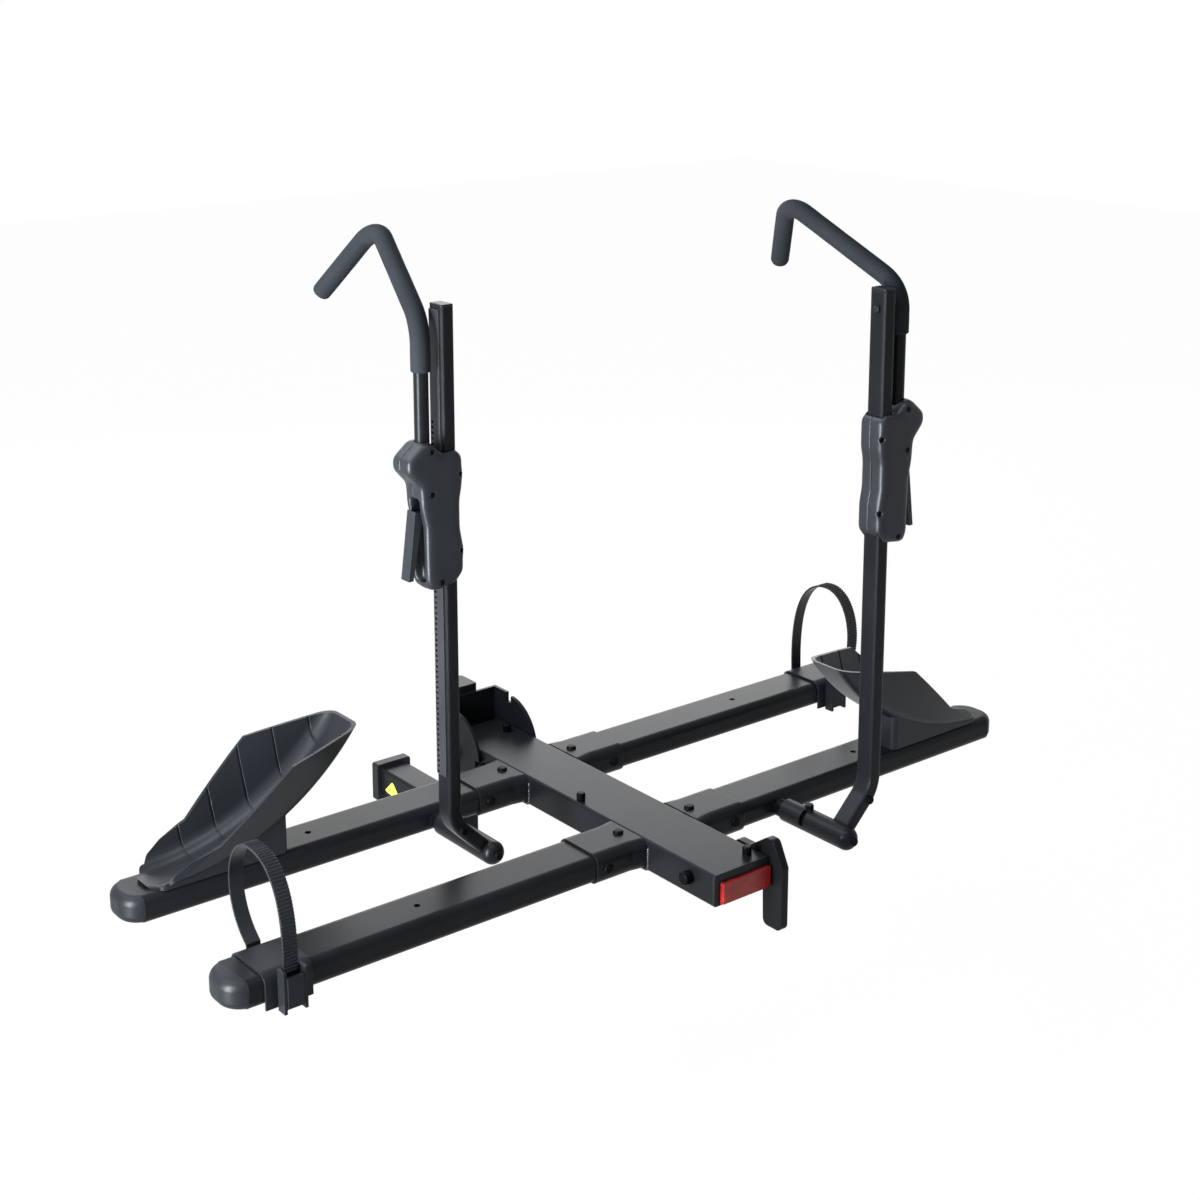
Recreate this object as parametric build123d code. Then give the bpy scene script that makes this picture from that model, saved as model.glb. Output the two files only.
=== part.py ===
from build123d import *
import os

os.makedirs("parts", exist_ok=True)

# Two-bicycle platform rack for a square hitch receiver.
# Millimetres. +Z is up, +X runs along the trays, +Y points to the vehicle.
# The origin is the centre of the hitch pin hole through the shank.

# Small edges and the corners of plugs
SMALL_EDGE = 1.5
PLUG_CORNER = 2.0

# Hitch shank, post and tilt bracket
SHANK_SIZE = 50.8
SHANK_WALL = 5.0
SHANK_CORNER = 5.0
PIN_HOLE_RADIUS = 8.1
PIN_TO_SHANK_END = 72.0
SHANK_CAP_SIZE = 66.0
SHANK_CAP_RIM = 18.0
SHANK_CAP_CORNER = 4.0
SHANK_CAP_PLUG = 20.0
SHANK_CAP_PLUG_WALL = 3.0
SHANK_CAP_FIT = 0.1
POST_WIDTH = 42.0
POST_DEPTH = 45.0
POST_WALL = 4.0
POST_ABOVE_DECK = 62.0
POST_CAP_HEIGHT = 3.0
BRACKET_PLATE = 5.0
BRACKET_GAP = 1.0
BRACKET_ABOVE_DECK = 50.0
QUADRANT_RADIUS = 69.0
BRACKET_BELOW_PIVOT = 90.0
NOTCH_WIDTH = 12.0
NOTCH_DEPTH = 11.0
NOTCH_TURNS = (0.0, 90.0)
PIVOT_TO_BACK_PLATE = 38.0
PIVOT_BOLT_RADIUS = 8.0
PIVOT_CLEARANCE = 0.05
PIVOT_BUSH_WALL = 4.0

# Where the deck stands from the hitch pin
DECK_HEIGHT = 174.0
PIN_TO_PIVOT = 193.0
PIVOT_TO_REAR_TRAY = 144.0
TRAY_SPACING = 278.0
PIVOT_TO_NEAR_END = 607.0

# Main beam, its end cap, reflector and studs
BEAM_WIDTH = 100.0
BEAM_HEIGHT = 46.0
BEAM_WALL = 3.0
BEAM_CORNER = 4.0
BEAM_BEYOND_PIVOT = 26.0
END_CAP_FACE = 3.0
END_CAP_PLUG = 14.0
END_CAP_FIT = 0.2
REFLECTOR_LEFT_MARGIN = 11.0
REFLECTOR_RIGHT_MARGIN = 1.0
REFLECTOR_HEIGHT = 31.0
REFLECTOR_THICKNESS = 6.0
REFLECTOR_DROP = 5.0
STUD_PLACES = ((30.0, 23.0), (-40.0, 303.0), (28.0, 580.0))
STUD_RADIUS = 6.5
STUD_HEIGHT = 12.0
STUD_DEPTH = 10.0

# Lock rod, cross pin and tilt handle
LOCK_PIN_RADIUS = 5.0
LOCK_PIN_OVERHANG = 4.0
LOCK_PIN_STANDOFF = 0.5
LOCK_TRAVEL = 8.0
ROD_RADIUS = 4.0
ROD_COLLAR_RADIUS = 8.0
ROD_COLLAR_WIDTH = 4.0
ROD_COLLAR_FROM_PIN = 40.0
ROD_HEAD_WIDTH = 16.0
ROD_HEAD_LENGTH = 12.0
ROD_GUIDE_THICKNESS = 10.0
ROD_GUIDE_WIDTH = 40.0
ROD_GUIDE_CLEARANCE = 0.08
ROD_GUIDE_FROM_END = 130.0
ROD_GUIDE_FROM_PIN = 70.0
HANDLE_FROM_END = 50.0
HANDLE_BELOW_DECK = 19.0
HANDLE_SHAFT_RADIUS = 7.0
HANDLE_SHAFT_CLEARANCE = 0.06
HANDLE_KNOB_RADIUS = 9.5
HANDLE_KNOB_LENGTH = 13.0
HANDLE_SIDE_GAP = 1.0
HANDLE_THICKNESS = 14.0
HANDLE_HUB_RADIUS = 20.0
HANDLE_WIDTH = 36.0
HANDLE_BEFORE_END = 25.0
HANDLE_TOP = 24.0
HANDLE_BOTTOM = 105.0
HANDLE_EDGE = 3.0
HANDLE_RIB_COUNT = 3
HANDLE_RIB_SIZE = 4.0
HANDLE_RIB_LENGTH = 64.0
CRANK_LENGTH = 14.0
CRANK_BALL_RADIUS = 4.0
CRANK_NECK_RADIUS = 2.0
CRANK_GAP = 0.8
ROD_EYE_SIZE = 16.0
ROD_EYE_THICKNESS = 5.0

# Trays, their sockets and end caps
TRAY_WIDTH = 80.0
TRAY_HEIGHT = 38.0
TRAY_CORNER = 12.0
TRAY_WALL = 2.5
TRAY_END = 672.0
TRAY_INNER_END = 56.0
SOCKET_WALL = 3.0
SOCKET_FIT = 0.1
SOCKET_END = 136.0
SOCKET_FLARE = 4.0
SOCKET_FLARE_LENGTH = 24.0
SOCKET_TOP_BOLT = 66.0
SOCKET_SIDE_BOLT = 118.0
TRAY_CAP_LENGTH = 25.0
TRAY_CAP_CORNER = 34.0
TRAY_CAP_PLUG = 25.0
TRAY_CAP_PLUG_WALL = 2.5
TRAY_CAP_FIT = 0.1
TRAY_HOLE = 403.0
TRAY_HOLE_RADIUS = 4.5
BOLT_RADIUS = 4.0
BOLT_HEAD_RADIUS = 7.5
BOLT_HEAD_HEIGHT = 4.0
BOLT_NUT_RADIUS = 7.5
BOLT_NUT_HEIGHT = 6.5
BOLT_HOLE_GAP = 0.3

# Wheel cradles: the trough follows a wheel whose axle stands over the tray
WHEEL_RADIUS = 385.0
WHEEL_CENTRE = 646.0
CRADLE_WALL = 4.0
CRADLE_FLOOR = 35.0
CRADLE_DEPTH = 112.0
CRADLE_RIM = 80.0
CRADLE_FLOOR_CORNER = 26.0
CRADLE_TOE = 658.0
CRADLE_TOE_WIDTH = 26.0
CRADLE_TOE_SPREAD = 28.0
CRADLE_TOE_HEIGHT = 15.0
CRADLE_LOW_KINK = 565.0
CRADLE_LOW_HEIGHT = 48.0
CRADLE_HIGH_KINK = 462.0
CRADLE_HIGH_HEIGHT = 138.0
CRADLE_TIP = 330.0
CRADLE_TIP_HEIGHT = 158.0
PEDESTAL_INNER_END = 454.0
PEDESTAL_OUTER_END = 646.0
PEDESTAL_WIDTH = 74.0
PEDESTAL_HEIGHT = 62.0
PEDESTAL_CORNER = 9.0
PEDESTAL_WALL = 3.0
CRADLE_GROOVE_COUNT = 5
CRADLE_GROOVE_START = 372.0
CRADLE_GROOVE_PITCH = 51.5
CRADLE_GROOVE_WIDTH = 3.0
CRADLE_GROOVE_DEPTH = 1.5

# Wheel strap saddles, ladder straps and buckles
SADDLE_FROM_CENTRE = (618.0, 594.0)
SADDLE_LENGTH = 66.0
SADDLE_WALL = 3.0
SADDLE_GAP = 0.4
SADDLE_DROP = 46.0
STRAP_WIDTH = 20.0
STRAP_THICKNESS = 2.6
STRAP_TOOTH_PITCH = 4.5
STRAP_TOOTH_HEIGHT = 1.4
STRAP_HEIGHTS = (137.0, 164.0)
STRAP_SIDE = 46.0
STRAP_LEAN = 30.0
STRAP_BULGE = 62.0
STRAP_TAIL = 34.0
STRAP_TOOTHED_SHARE = 0.55
BUCKLE_WIDTH = 33.0
BUCKLE_TOP = 8.0
BUCKLE_BOTTOM = 47.0
BUCKLE_DEPTH = 16.0
BUCKLE_WALL = 4.0
BUCKLE_SIDE_GAP = 0.5
BUCKLE_LEVER_THICKNESS = 5.0
BUCKLE_PIN_RADIUS = 2.0
BUCKLE_CLEARANCE = 0.05
BUCKLE_LEVER_DROP = 8.0

# Arms: foot, upright and ratchet rack
FOOT_FROM_CENTRE = 210.0
FOOT_BELOW_DECK = 25.0
FOOT_RADIUS = 17.0
FOOT_SHAFT_RADIUS = 12.0
FOOT_CLEARANCE = 0.06
FOOT_NECK_RADIUS = 14.0
FOOT_NECK_LENGTH = 14.0
FOOT_HUB_GAP = 0.4
FOOT_DOME_PLACE = 175.0
FOOT_DOME_LENGTH = 15.0
FOOT_SHAFT_END = 165.0
INDEX_PIN_PLACE = 100.0
INDEX_PIN_RADIUS = 4.0
INDEX_SLOT_GAP = 0.4
INDEX_HEAD_RADIUS = 7.0
INDEX_HEAD_GAP = 0.5
INDEX_HEAD_HEIGHT = 8.0
UPRIGHT_OFFSET = 59.0
UPRIGHT_FROM_TRAY = 159.0
UPRIGHT_BEND = 50.0
UPRIGHT_THICKNESS = 20.0
UPRIGHT_WIDTH = 30.0
UPRIGHT_CORNER = 4.0
UPRIGHT_WALL = 2.0
UPRIGHT_ABOVE_DECK = 759.0
UPRIGHT_CAP_HEIGHT = 3.0
UPRIGHT_CAP_PLUG = 15.0
STOP_SCREW_DROP = 26.0
STOP_SCREW_RADIUS = 3.0
STOP_SCREW_HEAD_RADIUS = 5.0
STOP_SCREW_HEAD_HEIGHT = 3.5
STOP_SCREW_LENGTH = 6.0
RACK_WIDTH = 22.0
RACK_THICKNESS = 2.8
RACK_WINDOW_WIDTH = 5.5
RACK_WINDOW_HEIGHT = 3.6
RACK_WINDOW_SHIFT = 6.5
RACK_PITCH = 7.6
RACK_BOTTOM = 105.0
RACK_TOP_DROP = 4.0
RACK_WINDOW_COUNT = 66

# Ratchet carriages: heights of the lowest point above the deck, then the shell
CARRIAGE_HEIGHTS = (377.0, 397.0)
CARRIAGE_HEIGHT = 206.0
CARRIAGE_DEPTH = 46.0
CARRIAGE_EDGE = 7.0
CARRIAGE_CORNER = 8.0
CARRIAGE_BULGE = 17.0
CARRIAGE_WAIST = 12.6
CARRIAGE_LOWER_BULGE = 50.0
CARRIAGE_UPPER_BULGE_DROP = 56.0
CARRIAGE_OUTER = 50.0
CARRIAGE_LEVER_SIDE = 42.0
CARRIAGE_THUMB = 70.0
CARRIAGE_HOOD_RISE = 16.0
CARRIAGE_THUMB_DROP = 27.0
CARRIAGE_SLIDE_GAP = 0.5
CARRIAGE_SCREW_SIDE = 34.0
CARRIAGE_SCREW_DROPS = (13.0, 71.0)
CARRIAGE_LOW_SCREW = (21.0, 12.0)
SCREW_RADIUS = 2.0
SCREW_HEAD_RADIUS = 3.6
SCREW_HEAD_HEIGHT = 1.5
SCREW_LENGTH = 6.0
SCREW_SINK = 5.0
SCREW_POCKET_GAP = 0.2
GRIP_GROOVE_COUNT = 5
GRIP_GROOVE_SIDE = 23.0
GRIP_GROOVE_START = 34.0
GRIP_GROOVE_PITCH = 9.0
GRIP_GROOVE_LENGTH = 20.0
GRIP_GROOVE_WIDTH = 1.4
GRIP_GROOVE_DEPTH = 1.0
GRIP_GROOVE_LEAN = 40.0

# Hooks and their foam
HOOK_OFFSET = 34.0
HOOK_TUBE_RADIUS = 10.0
HOOK_TUBE_WALL = 2.0
HOOK_TUBE_FIT = 0.05
HOOK_SEAT = 136.0
HOOK_FIRST_BEND = 362.0
HOOK_RISE = (-49.0, 176.0, 106.0)
HOOK_TIP = (52.0, 67.0, -99.0)
HOOK_LOWER_RADIUS = 55.0
HOOK_UPPER_RADIUS = 32.0
FOAM_RADIUS = 13.5
FOAM_START = 297.0
FOAM_FIT = 0.05
FOAM_END_WALL = 4.0

# Pawl and release lever
LEVER_PIVOT = (33.0, 100.0)
LEVER_WIDTH = 19.0
LEVER_PIN_RADIUS = 3.0
LEVER_PIN_LENGTH = 38.0
LEVER_HUB_RADIUS = 7.0
LEVER_SIDE_GAP = 0.5
LEVER_CLEARANCE = 0.05
LEVER_TOP = 120.0
LEVER_BOTTOM = 18.0
LEVER_REACH = 65.0
LEVER_THICKNESS = 7.0
PAWL_HEIGHT = 118.0
PAWL_GAP = 0.4
PAWL_FINGER_WIDTH = 4.5
PAWL_FINGER_LENGTH = 5.0

# Places worked out from the sizes above
DECK = DECK_HEIGHT
BEAM_MID = DECK - BEAM_HEIGHT / 2
PIVOT_Y = -PIN_TO_PIVOT
PIVOT_Z = BEAM_MID
NEAR_END = PIVOT_Y - PIVOT_TO_NEAR_END
REAR_TRAY_Y = PIVOT_Y - PIVOT_TO_REAR_TRAY
FRONT_TRAY_Y = REAR_TRAY_Y - TRAY_SPACING
TRAY_TOP = DECK - SOCKET_WALL
TRAY_MID = TRAY_TOP - TRAY_HEIGHT / 2
BACK_PLATE_Y = PIVOT_Y + PIVOT_TO_BACK_PLATE
POST_Y = BACK_PLATE_Y + BRACKET_PLATE
LOCK_PIN_Y = PIVOT_Y - QUADRANT_RADIUS - LOCK_PIN_RADIUS - LOCK_PIN_STANDOFF
HANDLE_Y = NEAR_END + HANDLE_FROM_END
HANDLE_Z = DECK - HANDLE_BELOW_DECK
ROD_Z = HANDLE_Z - CRANK_LENGTH
FOOT_Z = DECK - FOOT_BELOW_DECK
UPRIGHT_X = FOOT_FROM_CENTRE + UPRIGHT_OFFSET
CARRIAGE_UPPER_BULGE = CARRIAGE_HEIGHT - CARRIAGE_UPPER_BULGE_DROP
CARRIAGE_THUMB_HEIGHT = CARRIAGE_HEIGHT - CARRIAGE_THUMB_DROP
AXES = {"x": Axis.X, "y": Axis.Y, "z": Axis.Z}


def facing(axis, x, y, z):
    """Plane at a point whose normal runs along the named axis."""
    across = (0, 1, 0) if axis == "x" else (1, 0, 0)
    return Plane(origin=(x, y, z), x_dir=across, z_dir=AXES[axis].direction)


def bar(axis, start, length, section):
    """A section drawn out along the named axis; a negative length runs backwards."""
    return extrude(facing(axis, *start) * section, amount=length)


def rod(axis, start, length, radius):
    return bar(axis, start, length, Circle(radius))


def block(x0, x1, y0, y1, z0, z1):
    return Pos((x0 + x1) / 2, (y0 + y1) / 2, (z0 + z1) / 2) * Box(abs(x1 - x0), abs(y1 - y0), abs(z1 - z0))


def hollow(width, height, corner, wall):
    """Section of a rectangular tube with round corners."""
    return RectangleRounded(width, height, corner) - RectangleRounded(
        width - 2 * wall, height - 2 * wall, max(corner - wall, 0.5))


def outline_xz(line, y0, y1):
    """A closed line in the XZ plane at y0, drawn out to y1."""
    return extrude(Pos(0, y0, 0) * make_face(line), amount=y1 - y0, dir=(0, 1, 0))


def xz(points):
    return [(x, 0, z) for x, z in points]


def placed(shape, side, tray_y):
    """Put a shape drawn for the right side of a tray in its place, mirrored for the left side."""
    sided = mirror(shape, about=Plane.YZ) if side < 0 else shape
    return Pos(0, tray_y, 0) * sided


def save(name, *shapes):
    """Write one sub-part, as one solid or as a group of separate solids."""
    loose = [solid for shape in shapes for solid in shape.solids()]
    export_step(loose[0] if len(loose) == 1 else Compound(children=loose), os.path.join("parts", name + ".step"))


def button_bolt(axis, seat, grip, way, nut=True):
    """Button-head bolt: the head sits on the seat and the shank runs the given way."""
    head = rod(axis, seat, -way * BOLT_HEAD_HEIGHT, BOLT_HEAD_RADIUS)
    rim = head.edges().filter_by(GeomType.CIRCLE).sort_by(AXES[axis])[0 if way > 0 else -1]
    bolt = fillet(rim, BOLT_HEAD_HEIGHT * 0.7)
    tail = BOLT_NUT_HEIGHT + 2.0 if nut else 0.0
    bolt += rod(axis, seat, way * (grip + tail), BOLT_RADIUS)
    if nut:
        place = moved(axis, seat, way * grip)
        bolt += bar(axis, place, way * BOLT_NUT_HEIGHT, RegularPolygon(BOLT_NUT_RADIUS, 6))
    return bolt


def moved(axis, point, distance):
    return tuple(p + (distance if name == axis else 0.0) for name, p in zip("xyz", point))


def bolt_hole(axis, seat, grip, way):
    return rod(axis, moved(axis, seat, -way), way * (grip + 2.0), BOLT_RADIUS + BOLT_HOLE_GAP)


# Hitch end: it stays fixed in the receiver

def shank_tube():
    start = POST_Y + POST_DEPTH
    section = hollow(SHANK_SIZE, SHANK_SIZE, SHANK_CORNER, SHANK_WALL)
    tube = bar("y", (0, start, 0), PIN_TO_SHANK_END - start, section)
    return tube - rod("x", (-SHANK_SIZE, 0, 0), 2 * SHANK_SIZE, PIN_HOLE_RADIUS)


def shank_end_cap():
    rim = bar("y", (0, PIN_TO_SHANK_END, 0), SHANK_CAP_RIM, RectangleRounded(SHANK_CAP_SIZE, SHANK_CAP_SIZE, SHANK_CAP_CORNER))
    rim = chamfer(rim.faces().sort_by(Axis.Y)[-1].edges(), SMALL_EDGE)
    bore = SHANK_SIZE - 2 * SHANK_WALL - 2 * SHANK_CAP_FIT
    plug = bar("y", (0, PIN_TO_SHANK_END, 0), -SHANK_CAP_PLUG,
               hollow(bore, bore, PLUG_CORNER, SHANK_CAP_PLUG_WALL))
    return rim + plug


def post():
    foot = -SHANK_SIZE / 2
    height = DECK + POST_ABOVE_DECK - POST_CAP_HEIGHT - foot
    section = hollow(POST_WIDTH, POST_DEPTH, SHANK_CORNER, POST_WALL)
    return bar("z", (0, POST_Y + POST_DEPTH / 2, foot), height, section)


def post_cap():
    top = DECK + POST_ABOVE_DECK
    lid = bar("z", (0, POST_Y + POST_DEPTH / 2, top), -POST_CAP_HEIGHT,
              RectangleRounded(POST_WIDTH, POST_DEPTH, SHANK_CORNER))
    return fillet(lid.faces().sort_by(Axis.Z)[-1].edges(), 1.5)


def tilt_bracket():
    """Two notched quadrant plates and the back plate that joins them, welded to the post."""
    inner = BEAM_WIDTH / 2 + BRACKET_GAP
    outer = inner + BRACKET_PLATE
    top = DECK + BRACKET_ABOVE_DECK
    rim = rod("x", (-outer, PIVOT_Y, PIVOT_Z), 2 * outer, QUADRANT_RADIUS)
    rim += block(-outer, outer, PIVOT_Y, POST_Y, PIVOT_Z - BRACKET_BELOW_PIVOT, top)
    rim -= block(-2 * outer, 2 * outer, PIVOT_Y - 2 * QUADRANT_RADIUS, PIVOT_Y - QUADRANT_RADIUS / 2,
                 PIVOT_Z - 2 * QUADRANT_RADIUS, PIVOT_Z - QUADRANT_RADIUS / 3)
    rim -= block(-2 * outer, 2 * outer, POST_Y, POST_Y + QUADRANT_RADIUS, 0.0, 2 * top)
    bracket = rim - block(-inner, inner, PIVOT_Y - 2 * QUADRANT_RADIUS, BACK_PLATE_Y, 0.0, 2 * top)
    for turn in NOTCH_TURNS:
        reach = QUADRANT_RADIUS - NOTCH_DEPTH / 2
        notch = Pos(0, -reach - 2.0, 0) * Box(4 * outer, NOTCH_DEPTH + 4.0, NOTCH_WIDTH)
        bracket -= Pos(0, PIVOT_Y, PIVOT_Z) * Rot(-turn, 0, 0) * notch
    return bracket - rod("x", (-2 * outer, PIVOT_Y, PIVOT_Z), 4 * outer, PIVOT_BOLT_RADIUS)


def tilt_pivot_bolt():
    outer = BEAM_WIDTH / 2 + BRACKET_GAP + BRACKET_PLATE
    stem = rod("x", (-outer, PIVOT_Y, PIVOT_Z), 2 * outer + 12.0, PIVOT_BOLT_RADIUS)
    head = bar("x", (-outer, PIVOT_Y, PIVOT_Z), -8.0, RegularPolygon(13.0, 6))
    nut = bar("x", (outer, PIVOT_Y, PIVOT_Z), 9.0, RegularPolygon(13.0, 6))
    return stem + head + nut


# Platform: it tilts about the pivot bolt

def main_beam():
    start = NEAR_END + END_CAP_FACE
    length = PIVOT_Y + BEAM_BEYOND_PIVOT - start
    beam = bar("y", (0, start, BEAM_MID), length, hollow(BEAM_WIDTH, BEAM_HEIGHT, BEAM_CORNER, BEAM_WALL))
    bush = PIVOT_BOLT_RADIUS + PIVOT_CLEARANCE + PIVOT_BUSH_WALL
    beam -= rod("x", (-BEAM_WIDTH, PIVOT_Y, PIVOT_Z), 2 * BEAM_WIDTH, bush)
    slot = SlotOverall(LOCK_TRAVEL + 2 * LOCK_PIN_RADIUS + 4.0, 2 * LOCK_PIN_RADIUS + 2.0)
    beam -= bar("x", (-BEAM_WIDTH, LOCK_PIN_Y - LOCK_TRAVEL / 2, PIVOT_Z), 2 * BEAM_WIDTH, slot)
    beam -= rod("x", (-BEAM_WIDTH, HANDLE_Y, HANDLE_Z), 2 * BEAM_WIDTH, HANDLE_SHAFT_RADIUS + HANDLE_SHAFT_CLEARANCE)
    for x, along in STUD_PLACES:
        beam -= rod("z", (x, NEAR_END + along, DECK - STUD_DEPTH), 2 * STUD_DEPTH, BOLT_RADIUS)
    return beam


def beam_inserts():
    """Pivot bush and the two blocks inside the beam that carry the lock rod."""
    bore = PIVOT_BOLT_RADIUS + PIVOT_CLEARANCE
    bush = Circle(bore + PIVOT_BUSH_WALL) - Circle(bore)
    parts = [bar("x", (-BEAM_WIDTH / 2, PIVOT_Y, PIVOT_Z), BEAM_WIDTH, bush)]
    for y in (NEAR_END + ROD_GUIDE_FROM_END, LOCK_PIN_Y - ROD_GUIDE_FROM_PIN):
        face = Rectangle(ROD_GUIDE_WIDTH, BEAM_HEIGHT - 2 * BEAM_WALL)
        plate = bar("y", (0, y, BEAM_MID), ROD_GUIDE_THICKNESS, face)
        parts.append(plate - rod("y", (0, y, ROD_Z), ROD_GUIDE_THICKNESS, ROD_RADIUS + ROD_GUIDE_CLEARANCE))
    return parts


def beam_end_cap():
    face = bar("y", (0, NEAR_END, BEAM_MID), END_CAP_FACE, RectangleRounded(BEAM_WIDTH, BEAM_HEIGHT, BEAM_CORNER))
    face = fillet(face.faces().sort_by(Axis.Y)[0].edges(), 1.2)
    width = BEAM_WIDTH - 2 * BEAM_WALL - 2 * END_CAP_FIT
    height = BEAM_HEIGHT - 2 * BEAM_WALL - 2 * END_CAP_FIT
    return face + bar("y", (0, NEAR_END + END_CAP_FACE, BEAM_MID), END_CAP_PLUG, hollow(width, height, 1.5, 2.5))


def rear_reflector():
    shift = (REFLECTOR_LEFT_MARGIN - REFLECTOR_RIGHT_MARGIN) / 2
    width = BEAM_WIDTH - REFLECTOR_LEFT_MARGIN - REFLECTOR_RIGHT_MARGIN
    lens = bar("y", (shift, NEAR_END, BEAM_MID - REFLECTOR_DROP), -REFLECTOR_THICKNESS,
               RectangleRounded(width, REFLECTOR_HEIGHT, PLUG_CORNER))
    return chamfer(lens.faces().sort_by(Axis.Y)[0].edges(), SMALL_EDGE)


def beam_studs():
    studs = []
    for x, along in STUD_PLACES:
        y = NEAR_END + along
        head = rod("z", (x, y, DECK), STUD_HEIGHT, STUD_RADIUS)
        head = fillet(head.faces().sort_by(Axis.Z)[-1].edges(), 2.0)
        studs.append(head + rod("z", (x, y, DECK), -STUD_DEPTH, BOLT_RADIUS))
    return studs


def lock_rod():
    """Pull rod: an eye over the crank ball at one end, the cross pin at the other."""
    stem = rod("y", (0, HANDLE_Y, ROD_Z), LOCK_PIN_Y - HANDLE_Y, ROD_RADIUS)
    stem += bar("z", (0, HANDLE_Y, ROD_Z - ROD_EYE_THICKNESS / 2), ROD_EYE_THICKNESS, Circle(ROD_EYE_SIZE / 2))
    stem -= rod("z", (0, HANDLE_Y, ROD_Z - ROD_EYE_SIZE), 2 * ROD_EYE_SIZE, CRANK_BALL_RADIUS + CRANK_GAP)
    stem += rod("y", (0, LOCK_PIN_Y - ROD_COLLAR_FROM_PIN, ROD_Z), ROD_COLLAR_WIDTH, ROD_COLLAR_RADIUS)
    stem += block(-ROD_HEAD_WIDTH / 2, ROD_HEAD_WIDTH / 2, LOCK_PIN_Y + ROD_RADIUS - ROD_HEAD_LENGTH,
                  LOCK_PIN_Y + ROD_RADIUS, ROD_Z - ROD_RADIUS, PIVOT_Z + ROD_RADIUS)
    half = BEAM_WIDTH / 2 + BRACKET_GAP + BRACKET_PLATE + LOCK_PIN_OVERHANG
    return stem + rod("x", (-half, LOCK_PIN_Y, PIVOT_Z), 2 * half, LOCK_PIN_RADIUS)


def handle_shaft():
    """Shaft through the beam with the side knob and the crank that moves the lock rod."""
    half = BEAM_WIDTH / 2 + HANDLE_SIDE_GAP
    shaft = rod("x", (-half, HANDLE_Y, HANDLE_Z), 2 * half + HANDLE_THICKNESS - 2.0, HANDLE_SHAFT_RADIUS)
    knob = rod("x", (-half, HANDLE_Y, HANDLE_Z), -HANDLE_KNOB_LENGTH, HANDLE_KNOB_RADIUS)
    knob = fillet(knob.faces().sort_by(Axis.X)[0].edges(), 3.0)
    crank = rod("z", (0, HANDLE_Y, HANDLE_Z), -CRANK_LENGTH, CRANK_NECK_RADIUS)
    crank += Pos(0, HANDLE_Y, ROD_Z) * Sphere(CRANK_BALL_RADIUS)
    return shaft + knob + crank


def tilt_handle():
    """Pull handle beside the near end: hub, forward arm and hanging grip."""
    x0 = BEAM_WIDTH / 2 + HANDLE_SIDE_GAP
    near = NEAR_END - HANDLE_BEFORE_END
    far = near + HANDLE_WIDTH
    back = HANDLE_Y + HANDLE_HUB_RADIUS
    points = [
        (near, DECK - HANDLE_BOTTOM), (far, DECK - HANDLE_BOTTOM), (far + 2.0, HANDLE_Z - HANDLE_HUB_RADIUS),
        (back, HANDLE_Z - HANDLE_HUB_RADIUS), (back, HANDLE_Z + HANDLE_HUB_RADIUS),
        (HANDLE_Y - HANDLE_HUB_RADIUS / 2, HANDLE_Z + HANDLE_HUB_RADIUS), (far - 4.0, DECK + HANDLE_TOP),
        (far - HANDLE_WIDTH / 2, DECK + HANDLE_TOP), (near, DECK - HANDLE_TOP / 2),
    ]
    line = FilletPolyline(*[(x0, y, z) for y, z in points], radius=9.0, close=True)
    grip = extrude(make_face(line), amount=HANDLE_THICKNESS, dir=(1, 0, 0))
    grip = fillet(grip.faces().sort_by(Axis.X)[-1].edges(), HANDLE_EDGE)
    middle = (near + far) / 2
    low = DECK - HANDLE_BOTTOM + 10.0
    for step in range(HANDLE_RIB_COUNT):
        y = middle + (step - (HANDLE_RIB_COUNT - 1) / 2) * 2 * HANDLE_RIB_SIZE
        grip += rod("z", (x0 + HANDLE_THICKNESS - 1.0, y, low), HANDLE_RIB_LENGTH, HANDLE_RIB_SIZE / 2)
    return grip - rod("x", (x0 - 1.0, HANDLE_Y, HANDLE_Z), HANDLE_THICKNESS - 1.0, HANDLE_SHAFT_RADIUS)


def socket_bolt_places(side, tray_y):
    """Axis, seat, grip and direction of the upright bolt and of the cross bolt of one socket."""
    half_height = TRAY_HEIGHT / 2 + SOCKET_WALL
    half_width = TRAY_WIDTH / 2 + SOCKET_WALL
    upright = ("z", (side * SOCKET_TOP_BOLT, tray_y, TRAY_MID + half_height), 2 * half_height, -1)
    across = ("y", (side * SOCKET_SIDE_BOLT, tray_y - half_width, TRAY_MID), 2 * half_width, 1)
    return upright, across


def tray_socket(side, tray_y):
    """Rounded sleeve that flares where it is welded to the beam."""
    width = TRAY_WIDTH + 2 * SOCKET_WALL
    height = TRAY_HEIGHT + 2 * SOCKET_WALL
    corner = TRAY_CORNER + SOCKET_WALL
    root = side * BEAM_WIDTH / 2
    neck = root + side * SOCKET_FLARE_LENGTH
    sleeve = bar("x", (neck, tray_y, TRAY_MID), side * SOCKET_END - neck, RectangleRounded(width, height, corner))
    wide = RectangleRounded(width + 2 * SOCKET_FLARE, height, corner)
    sleeve += loft([facing("x", root, tray_y, TRAY_MID) * wide,
                    facing("x", neck, tray_y, TRAY_MID) * RectangleRounded(width, height, corner)])
    sleeve -= bar("x", (root, tray_y, TRAY_MID), side * SOCKET_END - root,
                  RectangleRounded(TRAY_WIDTH + 2 * SOCKET_FIT, TRAY_HEIGHT + 2 * SOCKET_FIT, TRAY_CORNER))
    for axis, seat, grip, way in socket_bolt_places(side, tray_y):
        sleeve -= bolt_hole(axis, seat, grip, way)
    return sleeve


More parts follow.
